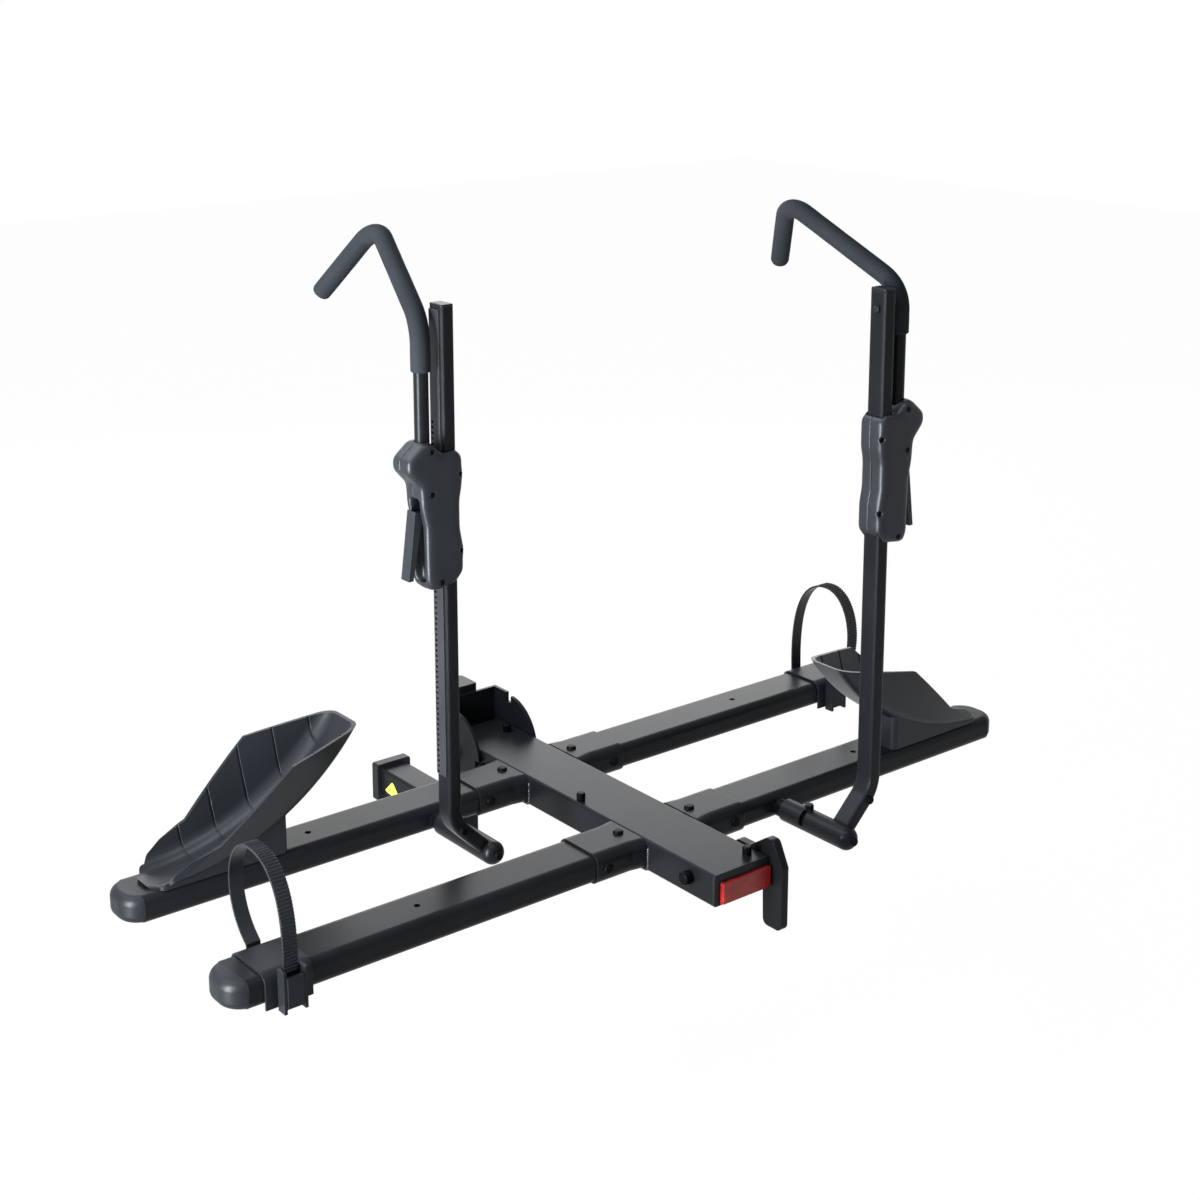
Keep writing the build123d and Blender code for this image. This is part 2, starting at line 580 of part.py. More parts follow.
def tray(side, tray_y, has_foot):
    start = side * TRAY_INNER_END
    tube = bar("x", (start, tray_y, TRAY_MID), side * TRAY_END - start,
               hollow(TRAY_WIDTH, TRAY_HEIGHT, TRAY_CORNER, TRAY_WALL))
    for axis, seat, grip, way in socket_bolt_places(side, tray_y):
        tube -= bolt_hole(axis, seat, grip, way)
    tube -= rod("z", (side * TRAY_HOLE, tray_y, TRAY_MID), TRAY_HEIGHT, TRAY_HOLE_RADIUS)
    if has_foot:
        near = tray_y - TRAY_WIDTH / 2
        tube -= rod("y", (side * FOOT_FROM_CENTRE, near - 1.0, FOOT_Z), TRAY_WALL + 1.0, FOOT_SHAFT_RADIUS)
    return tube


def tray_cap(side, tray_y):
    """Moulded end plug with a round nose."""
    long = 2 * TRAY_WIDTH
    middle = side * (TRAY_END + TRAY_CAP_LENGTH - long / 2)
    nose = bar("z", (middle, tray_y, TRAY_TOP - TRAY_HEIGHT), TRAY_HEIGHT,
               RectangleRounded(long, TRAY_WIDTH, TRAY_CAP_CORNER))
    ends = nose.faces().sort_by(Axis.Z)
    nose = fillet(ends[0].edges() + ends[-1].edges(), TRAY_CORNER)
    nose = nose & bar("x", (side * TRAY_END, tray_y, TRAY_MID), side * long, Rectangle(long, long))
    inner = 2 * (TRAY_WALL + TRAY_CAP_FIT)
    plug = hollow(TRAY_WIDTH - inner, TRAY_HEIGHT - inner, TRAY_CORNER - TRAY_WALL, TRAY_CAP_PLUG_WALL)
    return nose + bar("x", (side * TRAY_END, tray_y, TRAY_MID), -side * TRAY_CAP_PLUG, plug)


# Wheel cradle, drawn for the right side with the tray centre at y = 0

def trough_solid(wall):
    """The hollow a wheel rolls in, as a solid of revolution about the wheel's axle, grown by a wall."""
    low = WHEEL_RADIUS - CRADLE_WALL + wall
    high = WHEEL_RADIUS - CRADLE_DEPTH
    floor = CRADLE_FLOOR + wall
    rim = CRADLE_RIM + wall
    points = [(0.0, low), (floor, low), (rim, high)]
    half = FilletPolyline(*[(0, y, -r) for y, r in points], radius=CRADLE_FLOOR_CORNER)
    face = make_face([half, Line(half @ 1, (0, 0, -high)), Line((0, 0, -high), half @ 0)])
    profile = face + mirror(face, about=Plane.XZ)
    ring = revolve(profile, axis=Axis.Y, revolution_arc=180.0)
    ring = Rot(0, -90, 0) * ring
    return Pos(WHEEL_CENTRE, 0, TRAY_TOP + WHEEL_RADIUS) * ring


def cradle_side():
    """Side view of the cradle, from the toe over both kinks to the tip."""
    low = TRAY_TOP
    points = [
        (CRADLE_TOE, low), (CRADLE_TOE, low + CRADLE_TOE_HEIGHT), (CRADLE_LOW_KINK, low + CRADLE_LOW_HEIGHT),
        (CRADLE_HIGH_KINK, low + CRADLE_HIGH_HEIGHT), (CRADLE_TIP, low + CRADLE_TIP_HEIGHT),
        (CRADLE_TIP, low + CRADLE_TIP_HEIGHT - 30.0), (PEDESTAL_INNER_END, low),
    ]
    line = FilletPolyline(*xz(points), radius=6.0, close=True)
    return outline_xz(line, -2 * CRADLE_RIM, 2 * CRADLE_RIM)


def cradle_plan():
    """Plan view of the cradle: a shield that rounds in to the toe."""
    points = [
        (CRADLE_TOE, CRADLE_TOE_WIDTH / 2),
        (CRADLE_TOE - CRADLE_TOE_SPREAD, CRADLE_TOE_WIDTH / 2 + CRADLE_TOE_SPREAD),
        (CRADLE_HIGH_KINK, CRADLE_RIM), (CRADLE_TIP, CRADLE_RIM),
    ]
    loop = points + [(x, -y) for x, y in reversed(points)]
    line = FilletPolyline(*[(x, y, 0) for x, y in loop], radius=10.0, close=True)
    return extrude(make_face(line), amount=4 * CRADLE_DEPTH, dir=(0, 0, 1))


def wheel_cradle():
    """Curved trough on a hollow pedestal that stands on the tray."""
    outer = trough_solid(CRADLE_WALL)
    inner = trough_solid(0.0)
    shell = (outer - inner) & cradle_side() & cradle_plan()
    length = PEDESTAL_OUTER_END - PEDESTAL_INNER_END
    middle = (PEDESTAL_OUTER_END + PEDESTAL_INNER_END) / 2
    walls = bar("z", (middle, 0, TRAY_TOP), PEDESTAL_HEIGHT,
                hollow(length, PEDESTAL_WIDTH, PEDESTAL_CORNER, PEDESTAL_WALL))
    cradle = shell + (walls - trough_solid(CRADLE_WALL / 2))
    cutter = trough_solid(CRADLE_GROOVE_DEPTH)
    for step in range(CRADLE_GROOVE_COUNT):
        x = CRADLE_GROOVE_START + step * CRADLE_GROOVE_PITCH
        slab = block(x - CRADLE_GROOVE_WIDTH / 2, x + CRADLE_GROOVE_WIDTH / 2, -2 * CRADLE_RIM, 2 * CRADLE_RIM,
                     TRAY_TOP, TRAY_TOP + WHEEL_RADIUS)
        cradle -= cutter & slab
    return cradle


# Wheel strap, drawn for the right side with the tray centre at y = 0

def strap_saddle(x):
    """Channel that hugs the tray from above, with legs past its underside."""
    width = TRAY_WIDTH + 2 * (SADDLE_GAP + SADDLE_WALL)
    top = TRAY_TOP + SADDLE_GAP + SADDLE_WALL
    shell = bar("x", (x - SADDLE_LENGTH / 2, 0, top - SADDLE_DROP), SADDLE_LENGTH,
                RectangleRounded(width, 2 * SADDLE_DROP, TRAY_CORNER + SADDLE_GAP + SADDLE_WALL))
    bore = RectangleRounded(width - 2 * SADDLE_WALL, 2 * (SADDLE_DROP - SADDLE_WALL), TRAY_CORNER + SADDLE_GAP)
    shell -= bar("x", (x - SADDLE_LENGTH, 0, top - SADDLE_DROP), 2 * SADDLE_LENGTH, bore)
    shell -= block(x - SADDLE_LENGTH, x + SADDLE_LENGTH, -width, width, top - 3 * SADDLE_DROP, top - SADDLE_DROP)
    return shell


def strap_line(x, lean, height):
    """Arch of a strap in the YZ plane: steep on one side, slack on the side it leans to."""
    way = 1 if lean > 0 else -1
    top = TRAY_TOP + height
    start = -way * STRAP_SIDE
    steep = Bezier((x, start, TRAY_TOP), (x, start - way * 6.0, TRAY_TOP + height * 0.75),
                   (x, lean - way * STRAP_SIDE, top), (x, lean, top))
    slack = Bezier((x, lean, top), (x, lean + way * STRAP_BULGE, top),
                   (x, way * (STRAP_SIDE + STRAP_BULGE), TRAY_TOP + height * 0.3), (x, way * STRAP_SIDE, TRAY_TOP))
    return Wire([steep, slack])


def ladder_strap(x, lean, height):
    """Toothed strap over the tyre: near end in the buckle, far end on the saddle."""
    line = strap_line(x, lean, height)
    steps = 2 * int(line.length / STRAP_TOOTH_PITCH)
    outside = []
    inside = []
    for step in range(steps + 1):
        share = step / steps
        point = line.position_at(share if lean > 0 else 1 - share)
        run = line.tangent_at(share if lean > 0 else 1 - share) * (1 if lean > 0 else -1)
        out = Vector(0, -run.Z, run.Y)
        rise = STRAP_TOOTH_HEIGHT if step % 2 and share < STRAP_TOOTHED_SHARE else 0.0
        outside.append(point + out * (STRAP_THICKNESS / 2 + rise))
        inside.append(point - out * (STRAP_THICKNESS / 2))
    tail = TRAY_TOP - STRAP_TAIL
    half = STRAP_THICKNESS / 2
    loop = [Vector(x, -STRAP_SIDE + half, tail), Vector(x, -STRAP_SIDE - half, tail)] + outside
    loop += [Vector(x, STRAP_SIDE + half, tail), Vector(x, STRAP_SIDE - half, tail)] + inside[::-1]
    face = make_face(Polyline(*loop, close=True))
    return extrude(Pos(-STRAP_WIDTH / 2, 0, 0) * face, amount=STRAP_WIDTH, dir=(1, 0, 0))


# Arm, drawn for the right side with the tray centre at y = 0

def foot_shaft():
    """Fixed shaft that the arm folds on, with its neck at the tray and the index pin."""
    near = -TRAY_WIDTH / 2
    start = near + TRAY_WALL
    shaft = rod("y", (FOOT_FROM_CENTRE, start, FOOT_Z), -FOOT_SHAFT_END - start, FOOT_SHAFT_RADIUS)
    shaft += rod("y", (FOOT_FROM_CENTRE, near, FOOT_Z), -FOOT_NECK_LENGTH, FOOT_NECK_RADIUS)
    pin = rod("z", (FOOT_FROM_CENTRE, -INDEX_PIN_PLACE, FOOT_Z), FOOT_RADIUS + INDEX_HEAD_GAP, INDEX_PIN_RADIUS)
    head = bar("z", (FOOT_FROM_CENTRE, -INDEX_PIN_PLACE, FOOT_Z + FOOT_RADIUS + INDEX_HEAD_GAP), INDEX_HEAD_HEIGHT,
               RegularPolygon(INDEX_HEAD_RADIUS, 6))
    head = chamfer(head.faces().sort_by(Axis.Z)[-1].edges(), 1.0)
    return shaft + pin + head


def foot_bore():
    end = FOOT_SHAFT_END + FOOT_HUB_GAP
    return rod("y", (FOOT_FROM_CENTRE, 0, FOOT_Z), -end, FOOT_SHAFT_RADIUS + FOOT_CLEARANCE)


def foot_sleeve():
    """Turning sleeve with a domed end and the slot that clears the index pin as the arm folds."""
    start = -(TRAY_WIDTH / 2 + FOOT_NECK_LENGTH + FOOT_HUB_GAP)
    sleeve = rod("y", (FOOT_FROM_CENTRE, start, FOOT_Z), -FOOT_DOME_PLACE - start, FOOT_RADIUS)
    dome = rod("y", (FOOT_FROM_CENTRE, -FOOT_DOME_PLACE, FOOT_Z), -FOOT_DOME_LENGTH, FOOT_RADIUS)
    sleeve += fillet(dome.faces().sort_by(Axis.Y)[0].edges(), FOOT_DOME_LENGTH - 1.0)
    sleeve -= foot_bore()
    half = INDEX_PIN_RADIUS + INDEX_SLOT_GAP
    middle = (FOOT_FROM_CENTRE, -INDEX_PIN_PLACE, FOOT_Z)
    band = rod("y", moved("y", middle, -half), 2 * half, 2 * FOOT_RADIUS)
    band = band & block(FOOT_FROM_CENTRE - 2 * FOOT_RADIUS, FOOT_FROM_CENTRE, -FOOT_DOME_PLACE, 0, FOOT_Z,
                        FOOT_Z + 2 * FOOT_RADIUS)
    sleeve -= band
    sleeve -= rod("z", middle, 2 * FOOT_RADIUS, half)
    return sleeve - rod("x", middle, -2 * FOOT_RADIUS, half)


def foot_bolts():
    """Low bolt on the dome and the bolt at the bend of the upright."""
    dome_end = -FOOT_DOME_PLACE - FOOT_DOME_LENGTH
    low = rod("y", (FOOT_FROM_CENTRE, dome_end, FOOT_Z), -BOLT_HEAD_HEIGHT, BOLT_HEAD_RADIUS * 0.8)
    low = fillet(low.faces().sort_by(Axis.Y)[0].edges(), 1.5)
    near = -UPRIGHT_FROM_TRAY - UPRIGHT_WIDTH / 2
    bend = rod("y", (UPRIGHT_X - 12.0, near, DECK + 20.0), -BOLT_HEAD_HEIGHT, BOLT_HEAD_RADIUS * 0.8)
    bend = fillet(bend.faces().sort_by(Axis.Y)[0].edges(), 1.5)
    return low, bend


def upright():
    """Rectangular tube, bent at the foot and welded to the sleeve."""
    y = -UPRIGHT_FROM_TRAY
    top = (UPRIGHT_X, y, DECK + UPRIGHT_ABOVE_DECK)
    path = FilletPolyline(top, (UPRIGHT_X, y, FOOT_Z + UPRIGHT_OFFSET), (FOOT_FROM_CENTRE, y, FOOT_Z),
                          radius=UPRIGHT_BEND)
    section = Plane(origin=top, x_dir=(1, 0, 0), z_dir=(0, 0, -1)) * hollow(
        UPRIGHT_THICKNESS, UPRIGHT_WIDTH, UPRIGHT_CORNER, UPRIGHT_WALL)
    tube = sweep(section, path=path)
    tube -= rod("x", moved("x", stop_screw_seat(), -1.0), UPRIGHT_WALL + 2.0, STOP_SCREW_RADIUS + BOLT_HOLE_GAP)
    return tube - rod("y", (FOOT_FROM_CENTRE, 0, FOOT_Z), -2 * FOOT_DOME_PLACE, FOOT_RADIUS)


def upright_cap():
    """Plug in the top of the upright."""
    top = (UPRIGHT_X, -UPRIGHT_FROM_TRAY, DECK + UPRIGHT_ABOVE_DECK)
    lid = bar("z", top, UPRIGHT_CAP_HEIGHT, RectangleRounded(UPRIGHT_THICKNESS, UPRIGHT_WIDTH, UPRIGHT_CORNER))
    lid = fillet(lid.faces().sort_by(Axis.Z)[-1].edges(), 1.5)
    inner = 2 * (UPRIGHT_WALL + END_CAP_FIT)
    lid += bar("z", top, -UPRIGHT_CAP_PLUG, RectangleRounded(UPRIGHT_THICKNESS - inner, UPRIGHT_WIDTH - inner, 1.5))
    return lid


def stop_screw_seat():
    return (UPRIGHT_X - UPRIGHT_THICKNESS / 2, -UPRIGHT_FROM_TRAY, DECK + UPRIGHT_ABOVE_DECK - STOP_SCREW_DROP)


def stop_screw():
    """Screw on the inboard face that stops the carriage before the top."""
    seat = stop_screw_seat()
    head = rod("x", seat, -STOP_SCREW_HEAD_HEIGHT, STOP_SCREW_HEAD_RADIUS)
    head = fillet(head.faces().sort_by(Axis.X)[0].edges(), SMALL_EDGE)
    return head + rod("x", seat, STOP_SCREW_LENGTH, STOP_SCREW_RADIUS)


def upright_rack():
    """Ratchet strip on the outboard face with a ladder of windows near its rear edge."""
    length = UPRIGHT_ABOVE_DECK - RACK_TOP_DROP - RACK_BOTTOM
    middle = DECK + RACK_BOTTOM + length / 2
    low = (RACK_WINDOW_COUNT * RACK_PITCH - length) / 2
    windows = GridLocations(0, RACK_PITCH, 1, RACK_WINDOW_COUNT) * Rectangle(RACK_WINDOW_WIDTH, RACK_WINDOW_HEIGHT)
    strip = RectangleRounded(RACK_WIDTH, length, 1.0) - Pos(RACK_WINDOW_SHIFT, low) * Sketch(children=windows)
    return bar("x", (UPRIGHT_X + UPRIGHT_THICKNESS / 2, -UPRIGHT_FROM_TRAY, middle), RACK_THICKNESS, strip)


# Carriage, drawn for the right side with the tray centre at y = 0 and its lowest point at z = bottom

def carriage_outline(bottom):
    """Dog-bone front view with a hood over the hook's seat and the lever's side set back."""
    shoulder = CARRIAGE_HEIGHT - CARRIAGE_HOOD_RISE
    crest = HOOK_OFFSET + HOOK_TUBE_RADIUS
    points = [
        (CARRIAGE_OUTER - 14.0, 0.0), (-2.0, 6.0), (-CARRIAGE_BULGE, CARRIAGE_LOWER_BULGE - 30.0),
        (-CARRIAGE_BULGE, CARRIAGE_LOWER_BULGE + 10.0), (-CARRIAGE_WAIST, CARRIAGE_LOWER_BULGE + 32.0),
        (-CARRIAGE_WAIST, CARRIAGE_UPPER_BULGE - 30.0), (-CARRIAGE_BULGE, CARRIAGE_UPPER_BULGE - 10.0),
        (-CARRIAGE_BULGE, shoulder - 8.0), (-6.0, shoulder), (14.0, shoulder - 2.0),
        (HOOK_OFFSET - 4.0, CARRIAGE_HEIGHT - 2.0), (crest, CARRIAGE_HEIGHT),
        (CARRIAGE_THUMB, CARRIAGE_THUMB_HEIGHT + 5.0), (CARRIAGE_THUMB, CARRIAGE_THUMB_HEIGHT - 11.0),
        (CARRIAGE_OUTER, LEVER_TOP + 26.0), (CARRIAGE_OUTER - 1.0, LEVER_TOP + 2.0),
        (CARRIAGE_LEVER_SIDE, LEVER_TOP - 30.0), (CARRIAGE_LEVER_SIDE, 16.0),
    ]
    place = xz([(UPRIGHT_X + x, bottom + z) for x, z in points])
    return FilletPolyline(*place, radius=CARRIAGE_CORNER, close=True)


def carriage_screw_places(bottom):
    """Front ends of the shell's screw pockets and how deep each head is sunk."""
    front = -UPRIGHT_FROM_TRAY - CARRIAGE_DEPTH / 2
    for drop in CARRIAGE_SCREW_DROPS:
        yield (UPRIGHT_X + CARRIAGE_SCREW_SIDE, front, bottom + CARRIAGE_HEIGHT - drop), 0.0
    yield (UPRIGHT_X + CARRIAGE_LOW_SCREW[0], front, bottom + CARRIAGE_LOW_SCREW[1]), 0.0
    for z in (CARRIAGE_LOWER_BULGE, CARRIAGE_UPPER_BULGE + 6.0):
        yield (UPRIGHT_X - CARRIAGE_BULGE + SCREW_HEAD_RADIUS, front, bottom + z), SCREW_SINK


def carriage_solid(bottom):
    half = CARRIAGE_DEPTH / 2
    middle = -UPRIGHT_FROM_TRAY
    body = outline_xz(carriage_outline(bottom), middle - half, middle + half)
    ends = body.faces().sort_by(Axis.Y)
    body = fillet(ends[0].edges() + ends[-1].edges(), CARRIAGE_EDGE)
    gap = CARRIAGE_SLIDE_GAP
    side = UPRIGHT_THICKNESS / 2 + gap
    depth = UPRIGHT_WIDTH / 2 + gap
    body -= block(UPRIGHT_X - side, UPRIGHT_X + side, middle - depth, middle + depth,
                  bottom - 1.0, bottom + CARRIAGE_HEIGHT + 1.0)
    crest = UPRIGHT_X + UPRIGHT_THICKNESS / 2 + RACK_THICKNESS + gap
    tooth_side = RACK_WIDTH / 2 + gap
    body -= block(UPRIGHT_X, crest, middle - tooth_side, middle + tooth_side,
                  bottom - 1.0, bottom + CARRIAGE_HEIGHT + 1.0)
    seat = (UPRIGHT_X + HOOK_OFFSET, middle, bottom + HOOK_SEAT)
    body -= rod("z", seat, CARRIAGE_HEIGHT, HOOK_TUBE_RADIUS + HOOK_TUBE_FIT)
    pocket = LEVER_WIDTH / 2 + LEVER_SIDE_GAP
    body -= block(UPRIGHT_X, UPRIGHT_X + 2 * CARRIAGE_OUTER, middle - pocket, middle + pocket,
                  bottom + LEVER_PIVOT[1] - 13.0, bottom + LEVER_TOP + 8.0)
    body -= block(UPRIGHT_X + CARRIAGE_LEVER_SIDE - 12.0, UPRIGHT_X + 2 * CARRIAGE_OUTER, middle - pocket,
                  middle + pocket, bottom + LEVER_BOTTOM - 6.0, bottom + LEVER_TOP)
    pivot = (UPRIGHT_X + LEVER_PIVOT[0], middle - LEVER_PIN_LENGTH / 2, bottom + LEVER_PIVOT[1])
    body -= rod("y", pivot, LEVER_PIN_LENGTH, LEVER_PIN_RADIUS)
    for place, sink in carriage_screw_places(bottom):
        body -= rod("y", place, sink + SCREW_HEAD_HEIGHT, SCREW_HEAD_RADIUS + SCREW_POCKET_GAP)
        body -= rod("y", moved("y", place, sink), SCREW_LENGTH + SCREW_HEAD_HEIGHT, SCREW_RADIUS)
    groove = Rot(0, -GRIP_GROOVE_LEAN, 0) * Box(GRIP_GROOVE_LENGTH, 2 * GRIP_GROOVE_DEPTH, GRIP_GROOVE_WIDTH)
    for step in range(GRIP_GROOVE_COUNT):
        z = bottom + GRIP_GROOVE_START + step * GRIP_GROOVE_PITCH
        body -= Pos(UPRIGHT_X + GRIP_GROOVE_SIDE, middle - half, z) * groove
    return body


def carriage_half(bottom, way):
    """Front or rear shell of the clamshell, split through the upright's middle."""
    middle = -UPRIGHT_FROM_TRAY
    keep = block(0, 2 * UPRIGHT_X, middle, middle + way * CARRIAGE_DEPTH,
                 bottom - 1.0, bottom + 2 * CARRIAGE_HEIGHT)
    return carriage_solid(bottom) & keep


def carriage_pins(bottom):
    """Shell screws and the pin the lever turns on."""
    middle = -UPRIGHT_FROM_TRAY
    parts = [rod("y", (UPRIGHT_X + LEVER_PIVOT[0], middle - LEVER_PIN_LENGTH / 2, bottom + LEVER_PIVOT[1]),
                 LEVER_PIN_LENGTH, LEVER_PIN_RADIUS)]
    for place, sink in carriage_screw_places(bottom):
        seat = moved("y", place, sink)
        screw = rod("y", seat, SCREW_HEAD_HEIGHT, SCREW_HEAD_RADIUS)
        screw -= bar("y", seat, SCREW_HEAD_HEIGHT * 0.7, RegularPolygon(SCREW_RADIUS * 0.9, 6))
        parts.append(screw + rod("y", seat, SCREW_LENGTH + SCREW_HEAD_HEIGHT, SCREW_RADIUS))
    return parts


def hook_points(bottom):
    x = UPRIGHT_X + HOOK_OFFSET
    y = -UPRIGHT_FROM_TRAY
    seat = Vector(x, y, bottom + HOOK_SEAT)
    bend = Vector(x, y, bottom + HOOK_FIRST_BEND)
    crown = bend + Vector(*HOOK_RISE)
    return seat, bend, crown, crown + Vector(*HOOK_TIP)


def hook_tube(bottom):
    points = hook_points(bottom)
    path = FilletPolyline(*points, radius=(HOOK_LOWER_RADIUS, HOOK_UPPER_RADIUS))
    section = Plane(points[0]) * (Circle(HOOK_TUBE_RADIUS) - Circle(HOOK_TUBE_RADIUS - HOOK_TUBE_WALL))
    return sweep(section, path=path)


def hook_foam(bottom):
    """Foam sleeve over the bent part of the hook, closed at the tip."""
    seat, bend, crown, tip = hook_points(bottom)
    start = Vector(seat.X, seat.Y, bottom + FOAM_START)
    nose = tip + (tip - crown).normalized() * FOAM_END_WALL
    bends = (HOOK_LOWER_RADIUS, HOOK_UPPER_RADIUS)
    foam = sweep(Plane(start) * Circle(FOAM_RADIUS), path=FilletPolyline(start, bend, crown, nose, radius=bends))
    foam = fillet(foam.edges().filter_by(GeomType.CIRCLE).sort_by_distance(nose)[0], FOAM_END_WALL - 0.5)
    bore = sweep(Plane(start) * Circle(HOOK_TUBE_RADIUS + FOAM_FIT),
                 path=FilletPolyline(start, bend, crown, tip, radius=bends))
    return foam - bore


def release_lever(bottom):
    """Pawl nose towards the rack, hub on the pin and the long outboard grip."""
    crest = UPRIGHT_THICKNESS / 2 + RACK_THICKNESS + PAWL_GAP
    x, z = LEVER_PIVOT
    middle = -UPRIGHT_FROM_TRAY
    half = LEVER_WIDTH / 2
    points = [
        (crest, PAWL_HEIGHT), (crest, PAWL_HEIGHT - 2.5), (x - 6.0, z - 3.0), (x, z - LEVER_HUB_RADIUS),
        (x + 10.0, z - 6.0), (LEVER_REACH - LEVER_THICKNESS, LEVER_BOTTOM), (LEVER_REACH, LEVER_BOTTOM),
        (CARRIAGE_OUTER + 3.0, LEVER_TOP - 8.0), (x + 10.0, z + 8.0), (x, z + LEVER_HUB_RADIUS), (x - 9.0, z + 9.0),
    ]
    line = Polyline(*xz([(UPRIGHT_X + a, bottom + b) for a, b in points]), close=True)
    lever = outline_xz(line, middle - half, middle + half)
    finger = middle + RACK_WINDOW_SHIFT
    root = UPRIGHT_X + crest + PAWL_FINGER_LENGTH
    for way in (-1, 1):
        edge = finger + way * PAWL_FINGER_WIDTH / 2
        lever -= block(UPRIGHT_X, root, edge, middle + way * half, bottom, bottom + PAWL_HEIGHT + 1.0)
    pivot = (UPRIGHT_X + x, middle - half, bottom + z)
    lever += rod("y", pivot, LEVER_WIDTH, LEVER_HUB_RADIUS)
    return lever - rod("y", pivot, LEVER_WIDTH, LEVER_PIN_RADIUS + LEVER_CLEARANCE)


# Buckle, drawn for the right side with the tray centre at y = 0

def buckle_base(x):
    """Two cheeks and a floor on the saddle's near wall, with the lever's pin."""
    wall = TRAY_WIDTH / 2 + SADDLE_GAP + SADDLE_WALL
    low = TRAY_TOP - BUCKLE_BOTTOM
    top = TRAY_TOP + BUCKLE_TOP
    half = BUCKLE_WIDTH / 2
    inner = half - BUCKLE_WALL
    cheeks = block(x - half, x + half, -wall - BUCKLE_DEPTH, -wall, low, top)
    cheeks -= block(x - inner, x + inner, -wall - 2 * BUCKLE_DEPTH, -wall - 1.0, low - 1.0, top + 1.0)
    pin = rod("x", (x - half, -wall - BUCKLE_DEPTH + 5.0, low + 8.0), BUCKLE_WIDTH, BUCKLE_PIN_RADIUS)
    return cheeks + pin


def buckle_lever(x):
    wall = TRAY_WIDTH / 2 + SADDLE_GAP + SADDLE_WALL
    low = TRAY_TOP - BUCKLE_BOTTOM
    half = BUCKLE_WIDTH / 2 - BUCKLE_WALL - BUCKLE_SIDE_GAP
    pin = (x - half, -wall - BUCKLE_DEPTH + 5.0, low + 8.0)
    hub = rod("x", pin, 2 * half, BUCKLE_PIN_RADIUS + 2.5)
    out = -wall - BUCKLE_DEPTH - 1.0
    plate = block(x - half, x + half, out, out + BUCKLE_LEVER_THICKNESS, low + 6.0, TRAY_TOP + BUCKLE_TOP - BUCKLE_LEVER_DROP)
    plate = fillet(plate.faces().sort_by(Axis.Y)[0].edges(), 1.5)
    return hub + plate - rod("x", moved("x", pin, -1.0), 2 * half + 2.0, BUCKLE_PIN_RADIUS + BUCKLE_CLEARANCE)


# Write every sub-part

save("shank_tube", shank_tube())
save("shank_end_cap", shank_end_cap())
save("post", post() + post_cap())
save("tilt_bracket", tilt_bracket())
save("tilt_pivot_bolt", tilt_pivot_bolt())
save("main_beam", main_beam())
save("beam_inserts", *beam_inserts())
save("beam_end_cap", beam_end_cap())
save("rear_reflector", rear_reflector())
save("beam_studs", *beam_studs())
save("lock_rod", lock_rod())
save("handle_shaft", handle_shaft())
save("tilt_handle", tilt_handle())

tray_bolts = []
for row, tray_y, foot_side in (("front", FRONT_TRAY_Y, 1), ("rear", REAR_TRAY_Y, -1)):
    for hand, side in (("left", -1), ("right", 1)):
        save(f"tray_socket_{row}_{hand}", tray_socket(side, tray_y))
        save(f"tray_{row}_{hand}", tray(side, tray_y, side == foot_side))
        save(f"tray_cap_{row}_{hand}", tray_cap(side, tray_y))
        tray_bolts += [button_bolt(*place) for place in socket_bolt_places(side, tray_y)]
save("tray_bolts", *tray_bolts)

cradle = wheel_cradle()
sleeve = foot_sleeve()
shaft = foot_shaft()
feet = foot_bolts()
pole = upright()
caps = (upright_cap(), stop_screw())
rack = upright_rack()
for hand, side, own_tray, strap_tray, height, strap_height, saddle_x in (
        ("left", -1, REAR_TRAY_Y, FRONT_TRAY_Y, CARRIAGE_HEIGHTS[0], STRAP_HEIGHTS[0], SADDLE_FROM_CENTRE[0]),
        ("right", 1, FRONT_TRAY_Y, REAR_TRAY_Y, CARRIAGE_HEIGHTS[1], STRAP_HEIGHTS[1], SADDLE_FROM_CENTRE[1])):
    save(f"wheel_cradle_{hand}", placed(cradle, side, own_tray))
    save(f"foot_shaft_{hand}", placed(shaft, side, own_tray))
    save(f"foot_sleeve_{hand}", placed(sleeve, side, own_tray))
    save(f"foot_bolts_{hand}", *[placed(bolt, side, own_tray) for bolt in feet])
    save(f"upright_{hand}", placed(pole, side, own_tray))
    save(f"upright_cap_{hand}", *[placed(piece, side, own_tray) for piece in caps])
    save(f"upright_rack_{hand}", placed(rack, side, own_tray))
    bottom = DECK + height
    save(f"carriage_front_{hand}", placed(carriage_half(bottom, -1), side, own_tray))
    save(f"carriage_rear_{hand}", placed(carriage_half(bottom, 1), side, own_tray))
    save(f"carriage_pins_{hand}", *[placed(pin, side, own_tray) for pin in carriage_pins(bottom)])
    save(f"hook_tube_{hand}", placed(hook_tube(bottom), side, own_tray))
    save(f"hook_foam_{hand}", placed(hook_foam(bottom), side, own_tray))
    save(f"release_lever_{hand}", placed(release_lever(bottom), side, own_tray))
    save(f"strap_saddle_{hand}", placed(strap_saddle(saddle_x), side, strap_tray))
    save(f"ladder_strap_{hand}", placed(ladder_strap(saddle_x, -side * STRAP_LEAN, strap_height), side, strap_tray))
    save(f"buckle_base_{hand}", placed(buckle_base(saddle_x), side, strap_tray))
    save(f"buckle_lever_{hand}", placed(buckle_lever(saddle_x), side, strap_tray))
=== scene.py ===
import math

import bmesh
import bpy
import numpy
from mathutils import Matrix, Vector
from mathutils.bvhtree import BVHTree


